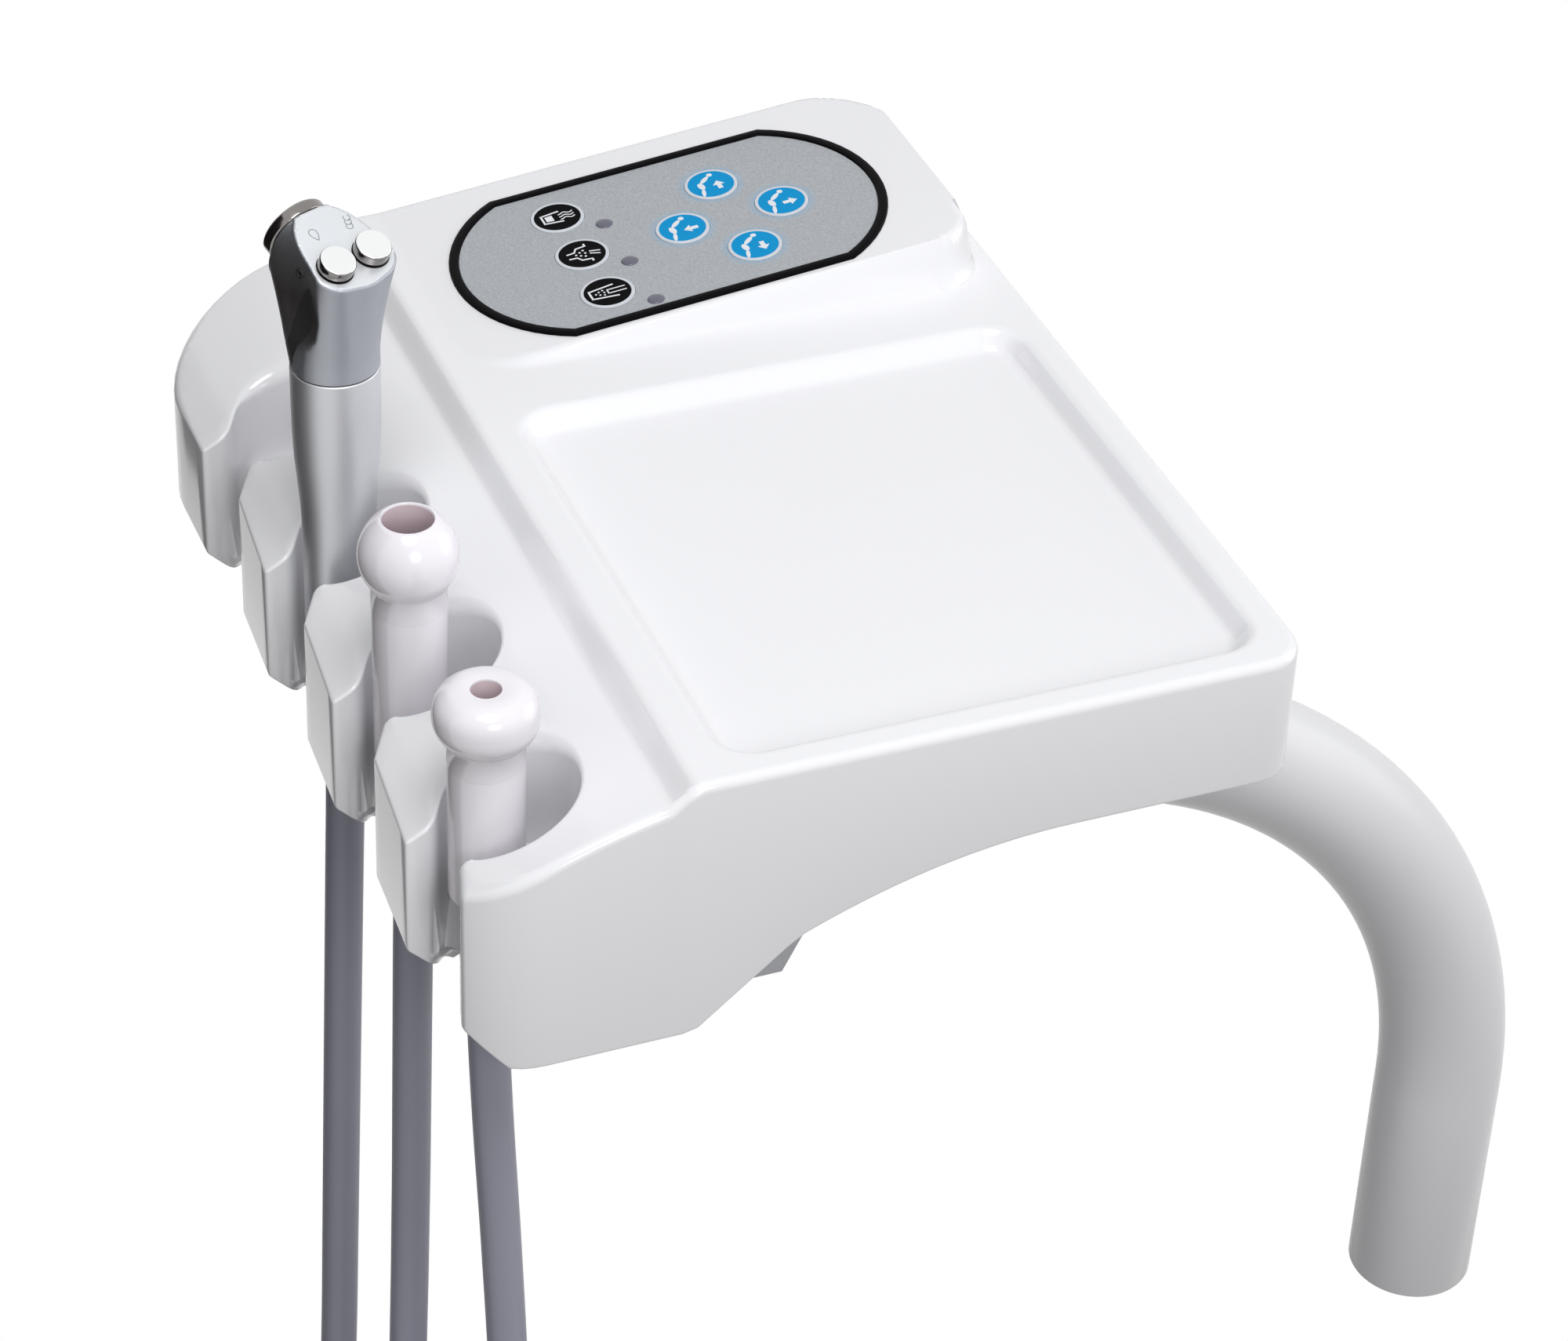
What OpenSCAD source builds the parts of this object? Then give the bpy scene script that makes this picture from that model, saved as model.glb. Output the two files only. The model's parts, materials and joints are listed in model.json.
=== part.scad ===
// Instrument console of a dental treatment unit, on its bent support arm.
// The origin is the centre of the arm's lower end. +Z is up. -Y faces the person who takes the instruments.
// The console is drawn in its own frame: x = 0 at the near side wall, y = 0 at the ridge between the
// holder and the tray, z = 0 at the tray's rim.

/* [Console] */
// Width of the console from side wall to side wall
console_w = 287; // [270:1:320]
// Depth of the tray from the ridge to the back edge
tray_d = 170; // [160:1:200]
// Depth of the holder from the ridge to the finger fronts
holder_d = 64; // [62:1:70]
// Height of the back wall
back_h = 38.5; // [34:0.5:44]
// Height of the holder housing from the rim to its flat bottom
front_h = 79.5; // [74:0.5:84]
// Wall thickness of the mouldings
wall = 3; // [2.5:0.1:3.5]
// Plan radius of the near front corner
near_r = 25; // [15:1:30]
// Plan radius of the far front corner
far_r = 40; // [25:1:45]
// Plan radius of the two back corners
back_r = 12; // [6:1:18]
// Height of the step at the ridge
step_h = 5.5; // [4:0.5:7]
// Fall of the holder's top from the step to the finger tips
tip_drop = 23; // [18:1:25]

/* [Tray and keypad platform] */
// Depth of the tray's recess
recess_h = 5.5; // [4.5:0.5:6]
// Width of the tray's recess
recess_w = 163; // [140:1:165]
// Rim left around the recess
recess_rim = 9; // [6:1:14]
// Corner radius of the recess
recess_r = 12; // [6:1:20]
// Width of the keypad platform
platform_w = 92; // [86:1:96]
// Rise of the keypad platform at its back
platform_h = 17; // [12:0.5:20]
// Depth of the keypad platform
platform_d = 153; // [146:1:156]
// Corner radius of the keypad platform
platform_r = 10; // [6:1:14]

/* [Holder slots] */
// Number of slots
slot_count = 4; // [3:1:4]
// Distance between neighbouring slots
slot_pitch = 62; // [60:0.5:64]
// Distance of the first slot's axis from the near wall
slot_first = 31.5; // [30:0.5:33]
// Radius of the open pocket round an instrument
pocket_r = 18.7; // [17:0.1:19.5]
// Depth of the pocket floor below the rim
pocket_floor = 45; // [42:1:50]
// Distance of the instruments' axis in front of the ridge
seat_y = 44.2; // [43:0.1:45]
// Width of the neck that a hose passes
neck_w = 16.5; // [15.5:0.5:18]

/* [Keypad] */
// Width of the keypad across its straight sides
pad_w = 76; // [72:1:78]
// Length of the keypad over its round ends
pad_l = 130; // [126:1:134]
// Width of the raised border
border_w = 3.3; // [2.5:0.1:4]
// Height of the raised border
border_h = 2.2; // [1.8:0.1:3]
// Thickness of the key plate
plate_t = 1.6; // [1.4:0.1:1.8]
// Diameter of a key
key_d = 15.7; // [14:0.1:17]
// Travel of a key
key_travel = 0.4; // [0.3:0.05:0.4]
// Thickness of the circuit board
board_t = 1.6; // [1.2:0.1:1.8]

/* [Arm] */
// Outside diameter of the arm tube
arm_d = 38; // [34:1:40]
// Wall thickness of the arm tube
arm_wall = 2; // [1.5:0.5:3]
// Radius of the bend
bend_r = 170; // [150:1:180]
// Height of the tube's level run above its lower end
arm_rise = 246; // [235:1:260]
// Distance from the lower end's axis to the ridge
arm_reach = 275; // [265:1:290]
// Distance of the arm from the near wall
arm_side = 70; // [66:1:80]
// Drop from the rim to the tube's level run
arm_below = 64; // [62:1:66]

/* [Instruments] */
// Outside diameter of a suction handpiece
suction_d = 19.8; // [19.6:0.1:20.8]
// Bore of a suction handpiece
suction_bore = 14; // [12:0.5:15]
// Diameter of the strong suction tip
strong_tip_d = 26.6; // [25:0.1:28]
// Diameter of the saliva ejector tip
ejector_tip_d = 27.2; // [25:0.1:28]
// Mouth of the strong suction tip
strong_mouth_d = 13.4; // [12:0.1:13.6]
// Mouth of the saliva ejector tip
ejector_mouth_d = 8.6; // [7:0.1:10]
// Diameter of the syringe sleeve at its top
sleeve_d = 24; // [23:0.5:25]
// Diameter of the syringe sleeve at its foot
sleeve_foot_d = 20; // [19:0.1:20.2]
// Diameter of a syringe button
button_d = 9.8; // [8.5:0.1:10.2]
// Travel of a syringe button
button_travel = 1.8; // [1:0.1:1.9]

/* [Hoses] */
// Outside diameter of a hose
hose_d = 11; // [10.6:0.1:11.2]
// Radius of a coil at its outer turn
coil_r = 66; // [64:1:72]
// Clear gap between neighbouring turns
turn_gap = 0.6; // [0.5:0.1:1]

/* [Clearances] */
// Gap between separate mouldings
fit_gap = 0.3; // [0.2:0.05:0.4]
// Radial clearance of a running fit
run_gap = 0.05; // [0.03:0.01:0.1]

/* [Hidden] */
$fn = 48;
big = 400;

// Console profile: the ridge's step, the curved holder top, the arched underside
step_d = step_h;
top_steps = 10;
top_slope = 0.2;
arch_back = 105;
arch_front = 29;
arch_drop = 17.2;
arch_steps = 8;
slope_foot = 0.9;
front_chamfer = 17.5;
ceiling = recess_h + wall;
holder_back = 16;
finger_front = 6;
far_hollow_y = -42;
far_hollow_d = 32;
far_hollow_x = wall + 20 - console_w;
recess_front = recess_rim + 1;

// Slots: the pocket's centre, the neck's left side and the flared mouth
pocket_y = 39;
nose_y = 55;
neck_left = 4;
mouth_flare = 11.5;
floor_t = 5;
seat_h = 3;
hose_hole_r = hose_d / 2 + 2;
seat_gap = 0.4;

// Keypad platform
platform_x = -console_w + 1;
platform_y = 7;
platform_tilt = atan(platform_h / platform_d);
pad_shift = 3.4;
pad_x = platform_x + platform_w / 2 + pad_shift;
pad_y = 74;
pad_end_r = 43;
pad_sink = 1.2;
plate_ledge = 3.7;
pocket_inset = border_w + plate_ledge;
pad_pocket_h = 7;
pad_floor = 3.5;
board_inset = pocket_inset + 1;
board_z = -3.8;
dome_h = 0.9;
dome_d = 8;
dome_gap = 0.1;
key_proud = 0.3;
key_flange_t = 0.9;
key_flange_w = 1;
key_stem_d = 5;
key_rows = [
    [-21, -26.9], [0.5, -26.9], [22, -26.9], [-16.6, 19.3], [19, 19.3], [1.2, 34.5], [1.2, 3.7]];
led_spots = [[-11.8, -15.7], [9.8, -15.7], [31.4, -15.7]];
board_posts = [[-27, -36], [27, -36], [-27, 40], [27, 40]];
led_d = 4.9;
lens_dome_h = 0.5;
lens_dome_d = 3.3;
chip_l = 3.2;
chip_w = 2;
chip_h = 1.2;
ribbon_w = 20;
ribbon_t = 0.8;
ribbon_l = 22;
ribbon_y = 24;
ribbon_slot = 4;
plug_w = ribbon_w + 4;
plug_d = 6;
plug_h = 8;

// Arm socket under the console
socket_w = 92;
socket_front = -14;
socket_back = 54;
socket_foot_back = 35;
socket_bottom = arm_below + arm_d / 2 + 5;
socket_top = arm_below - arm_d / 2 - 9;
socket_slope_z = 14 - arm_below;
socket_flange_t = 8;
socket_bolts = [[-36, -4], [36, -4], [-36, 44], [36, 44]];
socket_boss_r = 5.5;
socket_bolt_r = 2.5;
socket_head_r = 4.7;
socket_head_h = 4;
socket_screw_l = 20;
clamp_spots = [12, 28];
clamp_r = 3;
clamp_sink = 1;
arm_clear = 1;
cover_t = 2.5;
cover_bolt_in = 20;
cover_bolts = [
    for (x = [-14, -console_w / 2, cover_bolt_in - console_w])
        for (y = [-6, tray_d - cover_bolt_in]) [x, y]];
cover_boss_r = 4;
cover_bolt_r = 1.75;
cover_head_r = 3.5;
cover_screw_l = 12;
hole_spare = 2;

// Syringe: its head turns away from the near side, and its face slopes up towards the nozzle collar
head_turn = 203;
nozzle_tilt = 24;
seam_z = 38.3;
face_z = 77.2;
nozzle_below = 10;
collar_r = 9.6;
collar_x = 9.4;
collar_l = 4;
collar_edge = 0.6;
collar_nose = 0.8;
nozzle_r = 2.6;
nozzle_seal_w = 1.6;
nozzle_seal_h = 2;
nozzle_way_r = 3.5;
shoulder_h = 3;
lobe_r = 6.4;
lobe_foot_r = 5.8;
lobe_h = 6;
sleeve_profile = [[-14, 0], [-1, 0.7]];
sleeve_bulge_z = 14;
sleeve_bulge_in = 0.2;
sleeve_full_z = 24;
button_x = -9.25;
button_y = 5.95;
button_h = 3.4;
button_edge = 0.4;
button_lift = 0.2;
button_sink = 2;
stem_r = 2;
stem_l = 10;
stem_spare = 0.5;
spring_clear = 0.5;
spring_t = 0.9;
core_r = 9;
core_low = 8;
core_high = 52;
port_y = 4;
port_r = 1.2;
nut_low = pocket_floor + 14;
nut_r = hose_d / 2 + 1.1;
nut_floor = 8;
nut_bore_r = hose_d / 2 - 2;
spigot_r = 7.5;
spigot_l = 12;
foot_z = -pocket_floor + fit_gap;
set_screw_at = [-3, 6.6, -6.5];
set_screw_r = 1.5;
set_screw_l = 4.5;
set_screw_hex = 1;
strong_collar_z = 2.3;
ejector_collar_z = -3.1;
ejector_half_h = 10.6;
skirt_h = 7;
skirt_r = suction_d / 2 + 0.1;
strong_lip = 0.6;
ejector_lip = 1.8;
mouth_step = 3;
ball_steps = 14;
tip_spigot_r = 8.6;
tip_spigot_l = 9;
seal_r = 7.6;
seal_z = 3.4;
seal_h = 2;
screw_head_h = 1.6;
post_r = 3.2;
board_bolt_r = 1;
board_head_r = 2.2;
board_head_h = 1.4;

// Hose routes: [y, z] points from the lower end of the nut, each hose in the plane of its slot
syringe_route = [
    [0, 0], [0, -21], [-0.4, -46], [-1.2, -71], [-2, -96], [-2.8, -121], [-3.6, -146], [-4.4, -171],
    [-5.2, -196], [-6, -221], [-6.8, -246], [-7.8, -271], [-8.8, -296], [-9.5, -319], [-9.8, -338],
    [-9.8, -356]];
suction_route = [
    [0, 0], [0, -19], [-0.2, -37], [-0.6, -55], [-1, -75], [-1.4, -95], [-1.8, -115], [-2.2, -135],
    [-2.7, -155], [-3.2, -175], [-3.8, -195], [-4.4, -215], [-5.1, -237], [-5.6, -259], [-5.8, -281],
    [-5.8, -301]];
ejector_route = [
    [0, 0], [0, -13], [0.1, -27], [0.5, -41], [1.1, -57], [1.8, -73], [2.6, -89], [3.4, -105],
    [4.1, -121], [4.8, -137], [5.4, -153], [5.8, -171], [6.1, -189], [6.2, -207], [6.2, -227],
    [6.2, -247]];
coil_turns = 3.5;
hose_sides = 10;
coil_sides = 6;
rings_per_turn = 24;
turn_pitch = hose_d + turn_gap;
coil_lead = hose_d;
coil_tail = 24;
climb_from = (coil_turns - 0.5) / 2;
tie_t = 1.5;
tie_w = 8;
tie_gap = 0.4;
tie_turn = 0.75;
cuff_r = hose_d / 2 + 1.7;
cuff_rim_r = hose_d / 2 + 2.5;
cuff_bore_r = hose_d / 2 - 1.3;
cuff_rim_l = 12;
cuff_taper = 3;
cuff_neck = 2;
cuff_floor = 8;
cuff_l = 38;
coupling_body_l = 16;
coupling_hex_l = 6;
coupling_l = 30;
coupling_port = [2.4, 1.6, 12];

function slot_x(i) = -slot_first - slot_pitch * i;
function holder_top(y) =
    let (t = (-y - step_d) / (holder_d - step_d), run = top_slope * (holder_d - step_d))
    -step_h - run * t - (tip_drop - run) * t * t;
function underside(y) =
    y >= arch_back ? -back_h :
    y >= arch_front ? -back_h - arch_drop * pow((arch_back - y) / (arch_back - arch_front), 2) :
    y >= slope_foot ?
        -front_h + (front_h - back_h - arch_drop) * (y - slope_foot) / (arch_front - slope_foot) :
    -front_h;
function under_platform(p) = p[0] < platform_x + platform_w && p[1] > platform_y;
function roof(p) = 1 - ceiling + (under_platform(p) ? platform_h * (p[1] - platform_y) / platform_d : 0);
function spread(a, b, n) = [for (i = [0 : n]) a + (b - a) * i / n];

module at_console() {
    translate([arm_side, -arm_reach, arm_rise + arm_below]) children();
}

module at_slot(i) {
    at_console() translate([slot_x(i), -seat_y, 0]) children();
}

// A shape given in the console's [y, z] plane, extruded across part of its width
module across(x_from, x_to) {
    translate([x_from, 0, 0]) rotate([90, 0, 90]) linear_extrude(x_to - x_from) children();
}

// A rectangle whose four corners have their own radii: front left, front right, back right, back left
module rounded_plan(low, high, r) {
    polygon([
        [low[0] + r[0], low[1]], [high[0] - r[1], low[1]],
        [high[0], low[1] + r[1]], [high[0], high[1] - r[2]],
        [high[0] - r[2], high[1]], [low[0] + r[3], high[1]],
        [low[0], high[1] - r[3]], [low[0], low[1] + r[0]]]);
    translate([low[0] + r[0], low[1] + r[0]]) circle(r[0]);
    translate([high[0] - r[1], low[1] + r[1]]) circle(r[1]);
    translate([high[0] - r[2], high[1] - r[2]]) circle(r[2]);
    translate([low[0] + r[3], high[1] - r[3]]) circle(r[3]);
}

module side_profile() {
    polygon(concat(
        [for (y = spread(-holder_d, -step_d, top_steps)) [y, holder_top(y)]],
        [[0, 0], [tray_d, 0], [tray_d, -back_h]],
        [for (y = spread(arch_back, arch_front, arch_steps)) [y, underside(y)]],
        [[slope_foot, -front_h], [front_chamfer - holder_d, -front_h],
         [-holder_d, front_chamfer - front_h]]));
}

module inner_profile() {
    polygon(concat(
        [for (y = spread(wall - holder_d, -step_d, top_steps)) [y, holder_top(y) - wall]],
        [[-step_d, -ceiling], [tray_d - wall, -ceiling], [tray_d - wall, -big], [wall - holder_d, -big]]));
}

module platform_solid() {
    intersection() {
        translate([0, 0, -wall]) linear_extrude(platform_h + 2 * wall)
            rounded_plan([platform_x, platform_y], [platform_x + platform_w, platform_y + platform_d],
                [platform_r, platform_r, platform_r, platform_r]);
        across(-console_w, 0) polygon([
            [platform_y, -wall], [platform_y + platform_d, -wall],
            [platform_y + platform_d, platform_h], [platform_y, 0]]);
    }
}

module platform_hollow() {
    lift = (pad_sink + pad_pocket_h + pad_floor) / cos(platform_tilt);
    low_y = platform_y + platform_d * (lift - ceiling) / platform_h;
    across(platform_x + wall, platform_x + platform_w - wall) polygon([
        [low_y, -ceiling], [low_y, -ceiling - 1], [platform_y + platform_d - wall, -ceiling - 1],
        [platform_y + platform_d - wall, platform_h * (platform_d - wall) / platform_d - lift]]);
}

// The keypad's frame: its middle sunk a little into the sloping platform, local z square to the slope
module at_keypad() {
    at_console() on_platform() children();
}

module on_platform() {
    translate([pad_x, platform_y, 0]) rotate([platform_tilt, 0, 0])
        translate([0, pad_y, -pad_sink]) children();
}

module pad_outline(inset) {
    arc_y = pad_l / 2 - pad_end_r;
    intersection() {
        square([pad_w - 2 * inset, pad_l - 2 * inset], center = true);
        union() {
            translate([0, arc_y]) circle(pad_end_r - inset);
            translate([0, -arc_y]) circle(pad_end_r - inset);
            square([2 * pad_end_r, 2 * arc_y], center = true);
        }
    }
}

module slot_pocket() {
    difference() {
        translate([0, -pocket_y, -pocket_floor]) cylinder(r = pocket_r, h = big);
        translate([-pocket_r, -nose_y - big, -big]) cube([2 * pocket_r, big, 3 * big]);
    }
    intersection() {
        translate([0, -pocket_y, -big]) cylinder(r = pocket_r - wall, h = big - pocket_floor - floor_t);
        translate([-pocket_r, -nose_y, -big]) cube([2 * pocket_r, big, 2 * big]);
    }
}

// The way of the hose: its hole in the seat's floor, the neck and the flared mouth
module slot_mouth() {
    translate([0, 0, -big]) linear_extrude(2 * big) {
        translate([0, -seat_y]) circle(hose_hole_r);
        polygon([
            [-hose_hole_r, -seat_y], [-neck_left, -nose_y], [-neck_left, -holder_d - 20],
            [neck_w - neck_left + mouth_flare, -holder_d - 20], [neck_w - neck_left + mouth_flare, -holder_d],
            [neck_w - neck_left, -nose_y], [hose_hole_r, -seat_y]]);
    }
}

module seat_ring() {
    translate([0, -seat_y, -pocket_floor]) difference() {
        cylinder(r = suction_d / 2 + seat_gap + wall, h = seat_h);
        translate([0, 0, -1]) cylinder(r = suction_d / 2 + seat_gap, h = seat_h + 2);
    }
}

module shell_plan(inset) {
    rounded_plan([inset - console_w, inset - holder_d], [-inset, tray_d - inset],
        [far_r - inset, near_r - inset, back_r - inset, back_r - inset]);
}

module shell_cavity() {
    intersection() {
        across(wall - console_w, -wall) inner_profile();
        translate([0, 0, -big]) linear_extrude(big) {
            intersection() {
                shell_plan(wall);
                translate([-console_w, -holder_back]) square([console_w, tray_d + holder_back]);
            }
            for (i = [0 : slot_count - 2])
                translate([slot_x(i + 1) + pocket_r + wall, finger_front - holder_d])
                    square([slot_pitch - 2 * pocket_r - 2 * wall, holder_d - finger_front]);
            translate([far_hollow_x, far_hollow_y])
                square([slot_x(slot_count - 1) - pocket_r - wall - far_hollow_x, far_hollow_d]);
        }
    }
}

module console_shell() {
    color("white") at_console() difference() {
        union() {
            difference() {
                union() {
                    intersection() {
                        across(-console_w, 0) side_profile();
                        translate([0, 0, -big / 2]) linear_extrude(big) shell_plan(0);
                    }
                    platform_solid();
                }
                shell_cavity();
                platform_hollow();
                for (i = [0 : slot_count - 1]) translate([slot_x(i), 0, 0]) slot_pocket();
                translate([-recess_rim - recess_w, recess_front, -recess_h]) linear_extrude(big)
                    rounded_plan([0, 0], [recess_w, tray_d - recess_rim - recess_front],
                        [recess_r, recess_r, recess_r, recess_r]);
            }
            for (i = [0 : slot_count - 1]) translate([slot_x(i), 0, 0]) seat_ring();
            for (p = cover_bolts) translate([p[0], p[1], underside(p[1]) + cover_t])
                cylinder(r = cover_boss_r, h = roof(p) - underside(p[1]) - cover_t);
            for (p = socket_bolts) translate([p[0] - arm_side, p[1], -socket_top])
                cylinder(r = socket_boss_r, h = socket_top - ceiling + 1);
        }
        for (i = [0 : slot_count - 1]) translate([slot_x(i), 0, 0]) slot_mouth();
        for (p = cover_bolts) translate([p[0], p[1], underside(p[1])])
            cylinder(r = cover_bolt_r, h = cover_screw_l + hole_spare);
        for (p = socket_bolts) translate([p[0] - arm_side, p[1], -socket_top - 1])
            cylinder(r = socket_bolt_r, h = 1 + socket_screw_l - socket_flange_t + hole_spare);
        on_platform() linear_extrude(big) pad_outline(-fit_gap);
        on_platform() difference() {
            translate([0, 0, -pad_pocket_h]) linear_extrude(big) pad_outline(pocket_inset);
            for (p = board_posts) translate([p[0], p[1], -pad_pocket_h - 1])
                cylinder(r = post_r, h = 1 + pad_pocket_h + board_z - board_t);
        }
        on_platform() for (p = board_posts) translate([p[0], p[1], -pad_pocket_h])
            cylinder(r = board_bolt_r, h = pad_pocket_h);
        on_platform() translate([-ribbon_w / 2 - 1, ribbon_y - ribbon_slot / 2, -big / 2])
            cube([ribbon_w + 2, ribbon_slot, big / 2]);
    }
}

module bottom_cover() {
    rear = tray_d - wall - fit_gap;
    front = fit_gap - holder_back;
    color("whitesmoke") at_console() difference() {
        intersection() {
            across(wall + fit_gap - console_w, -wall - fit_gap) polygon(concat(
                [[front, -front_h], [slope_foot, -front_h]],
                [for (y = spread(arch_front, arch_back, arch_steps)) [y, underside(y)]],
                [[rear, -back_h], [rear, cover_t - back_h]],
                [for (y = spread(arch_back, arch_front, arch_steps)) [y, underside(y) + cover_t]],
                [[slope_foot, cover_t - front_h], [front, cover_t - front_h]]));
            translate([0, 0, -big / 2]) linear_extrude(big) shell_plan(wall + fit_gap);
        }
        across(-arm_side - socket_w / 2 - fit_gap, -arm_side + socket_w / 2 + fit_gap)
            translate([socket_front - fit_gap, -big / 2])
                square([socket_back - socket_front + 2 * fit_gap, big]);
        translate([-arm_side, 0, -arm_below]) rotate([-90, 0, 0])
            cylinder(r = arm_d / 2 + arm_clear, h = big);
        for (p = cover_bolts) translate([p[0], p[1], underside(p[1]) - 1])
            cylinder(r = cover_bolt_r, h = cover_t + 2);
    }
}

// A screw: its shank upward from z = 0, and below that its head with a hex socket
module screw(shank_r, shank_l, head_r, head_h) {
    cylinder(r = shank_r, h = shank_l);
    difference() {
        translate([0, 0, -head_h]) cylinder(r = head_r, h = head_h);
        translate([0, 0, -1.5 * head_h]) cylinder(r = head_r / 2, h = head_h, $fn = 6);
    }
}

module cover_screws() {
    color("silver") at_console() for (p = cover_bolts) translate([p[0], p[1], underside(p[1])])
        screw(cover_bolt_r - run_gap, cover_screw_l, cover_head_r, screw_head_h);
}

module arm_socket() {
    color("gainsboro") at_console() difference() {
        across(-arm_side - socket_w / 2, -arm_side + socket_w / 2) polygon([
            [socket_front, -socket_bottom], [socket_foot_back, -socket_bottom], [socket_back, socket_slope_z],
            [socket_back, -socket_top], [socket_front, -socket_top]]);
        translate([-arm_side, -run_gap, -arm_below]) rotate([-90, 0, 0])
            cylinder(d = arm_d + 2 * run_gap, h = big);
        for (p = socket_bolts) translate([p[0] - arm_side, p[1], -big]) {
            cylinder(r = socket_bolt_r, h = big);
            cylinder(r = socket_boss_r, h = big - socket_top - socket_flange_t);
        }
        for (y = clamp_spots) translate([-arm_side, y, -big])
            cylinder(r = clamp_r + run_gap, h = big - arm_below);
    }
}

module socket_screws() {
    color("silver") at_console() for (p = socket_bolts)
        translate([p[0] - arm_side, p[1], -socket_top - socket_flange_t])
            screw(socket_bolt_r - run_gap, socket_screw_l, socket_head_r, socket_head_h);
}

module clamp_screws() {
    color("dimgray") at_console() for (y = clamp_spots)
        translate([-arm_side, y, clamp_sink - socket_bottom]) difference() {
            cylinder(r = clamp_r, h = socket_bottom - arm_below - arm_d / 2 - clamp_sink - run_gap);
            translate([0, 0, -1]) cylinder(r = clamp_r / 2, h = 1 + clamp_r / 2, $fn = 6);
        }
}

module tube_section() {
    difference() {
        circle(d = arm_d);
        circle(d = arm_d - 2 * arm_wall);
    }
}

module arm_tube() {
    color("snow") {
        linear_extrude(arm_rise - bend_r) tube_section();
        translate([0, -bend_r, arm_rise - bend_r]) rotate([90, 0, 90])
            rotate_extrude(angle = 90, $fn = 96) translate([bend_r, 0]) tube_section();
        translate([0, -bend_r, arm_rise]) rotate([90, 0, 0])
            linear_extrude(arm_reach - bend_r) tube_section();
    }
}

module keypad_bezel() {
    color("black") at_keypad() linear_extrude(border_h) difference() {
        pad_outline(0);
        pad_outline(border_w);
    }
}

module keypad_plate() {
    color("darkgray") at_keypad() difference() {
        linear_extrude(plate_t) pad_outline(border_w + run_gap);
        for (p = key_rows) translate([p[0], p[1], -1]) cylinder(d = key_d + 2 * seat_gap, h = plate_t + 2);
        for (p = led_spots) translate([p[0], p[1], -1]) cylinder(d = led_d + 2 * run_gap, h = plate_t + 2);
    }
}

// A key: its cap in the plate's hole, a flange below the plate and a stem above the dome switch
module key(p) {
    stem_low = board_z + dome_h + key_travel + dome_gap;
    at_keypad() translate([p[0], p[1], 0]) {
        translate([0, 0, -fit_gap - key_flange_t]) {
            cylinder(d = key_d, h = key_flange_t + fit_gap + plate_t + key_proud);
            cylinder(d = key_d + 2 * key_flange_w, h = key_flange_t);
        }
        translate([0, 0, stem_low]) cylinder(d = key_stem_d, h = -fit_gap - stem_low);
    }
}

module heater_key() { color("black") key(key_rows[0]); }
module bowl_key() { color("black") key(key_rows[1]); }
module cup_key() { color("black") key(key_rows[2]); }
module chair_up_key() { color("deepskyblue") key(key_rows[3]); }
module chair_down_key() { color("deepskyblue") key(key_rows[4]); }
module back_up_key() { color("deepskyblue") key(key_rows[5]); }
module back_down_key() { color("deepskyblue") key(key_rows[6]); }

module led_lenses() {
    color("slategray") at_keypad() for (p = led_spots) translate([p[0], p[1], 0]) {
        cylinder(d = led_d, h = plate_t);
        translate([0, 0, plate_t]) cylinder(d1 = led_d, d2 = lens_dome_d, h = lens_dome_h);
    }
}

module keypad_leds() {
    last_x = pad_w / 2 - board_inset - chip_l;
    color("ivory") at_keypad() for (p = led_spots)
        translate([min(p[0], last_x) - chip_l / 2, p[1] - chip_w / 2, board_z])
            cube([chip_l, chip_w, chip_h]);
}

module keypad_board() {
    color("seagreen") at_keypad() difference() {
        translate([0, 0, board_z - board_t]) linear_extrude(board_t) pad_outline(board_inset);
        for (p = board_posts) translate([p[0], p[1], board_z - board_t - 1])
            cylinder(r = board_bolt_r + fit_gap, h = board_t + 2);
    }
}

module dome_switches() {
    color("silver") at_keypad() for (p = key_rows) translate([p[0], p[1], board_z])
        cylinder(d1 = dome_d, d2 = key_stem_d, h = dome_h);
}

module board_screws() {
    color("silver") at_keypad() for (p = board_posts) translate([p[0], p[1], board_z]) rotate([180, 0, 0])
        screw(board_bolt_r - run_gap, pad_pocket_h + board_z - board_bolt_r / 2, board_head_r, board_head_h);
}

module at_ribbon() {
    at_keypad() translate([0, ribbon_y, board_z - board_t - ribbon_l]) children();
}

module keypad_ribbon() {
    color("lightgray") at_ribbon() translate([-ribbon_w / 2, -ribbon_t / 2, 0])
        cube([ribbon_w, ribbon_t, ribbon_l]);
}

module ribbon_plug() {
    color("white") at_ribbon() translate([-plug_w / 2, -plug_d / 2, -plug_h]) cube([plug_w, plug_d, plug_h]);
}

// The syringe stands in the third slot from the near wall
module at_syringe() {
    at_slot(2) rotate([0, 0, head_turn]) children();
}

module on_face() {
    translate([0, 0, face_z]) rotate([0, -nozzle_tilt, 0]) children();
}

module on_nozzle() {
    on_face() translate([0, 0, -nozzle_below]) rotate([0, 90, 0]) children();
}

module on_button(side) {
    on_face() translate([button_x, side * button_y, 0]) children();
}

module on_set_screw() {
    on_face() translate(set_screw_at) rotate([-90, 0, 0]) children();
}

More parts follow.
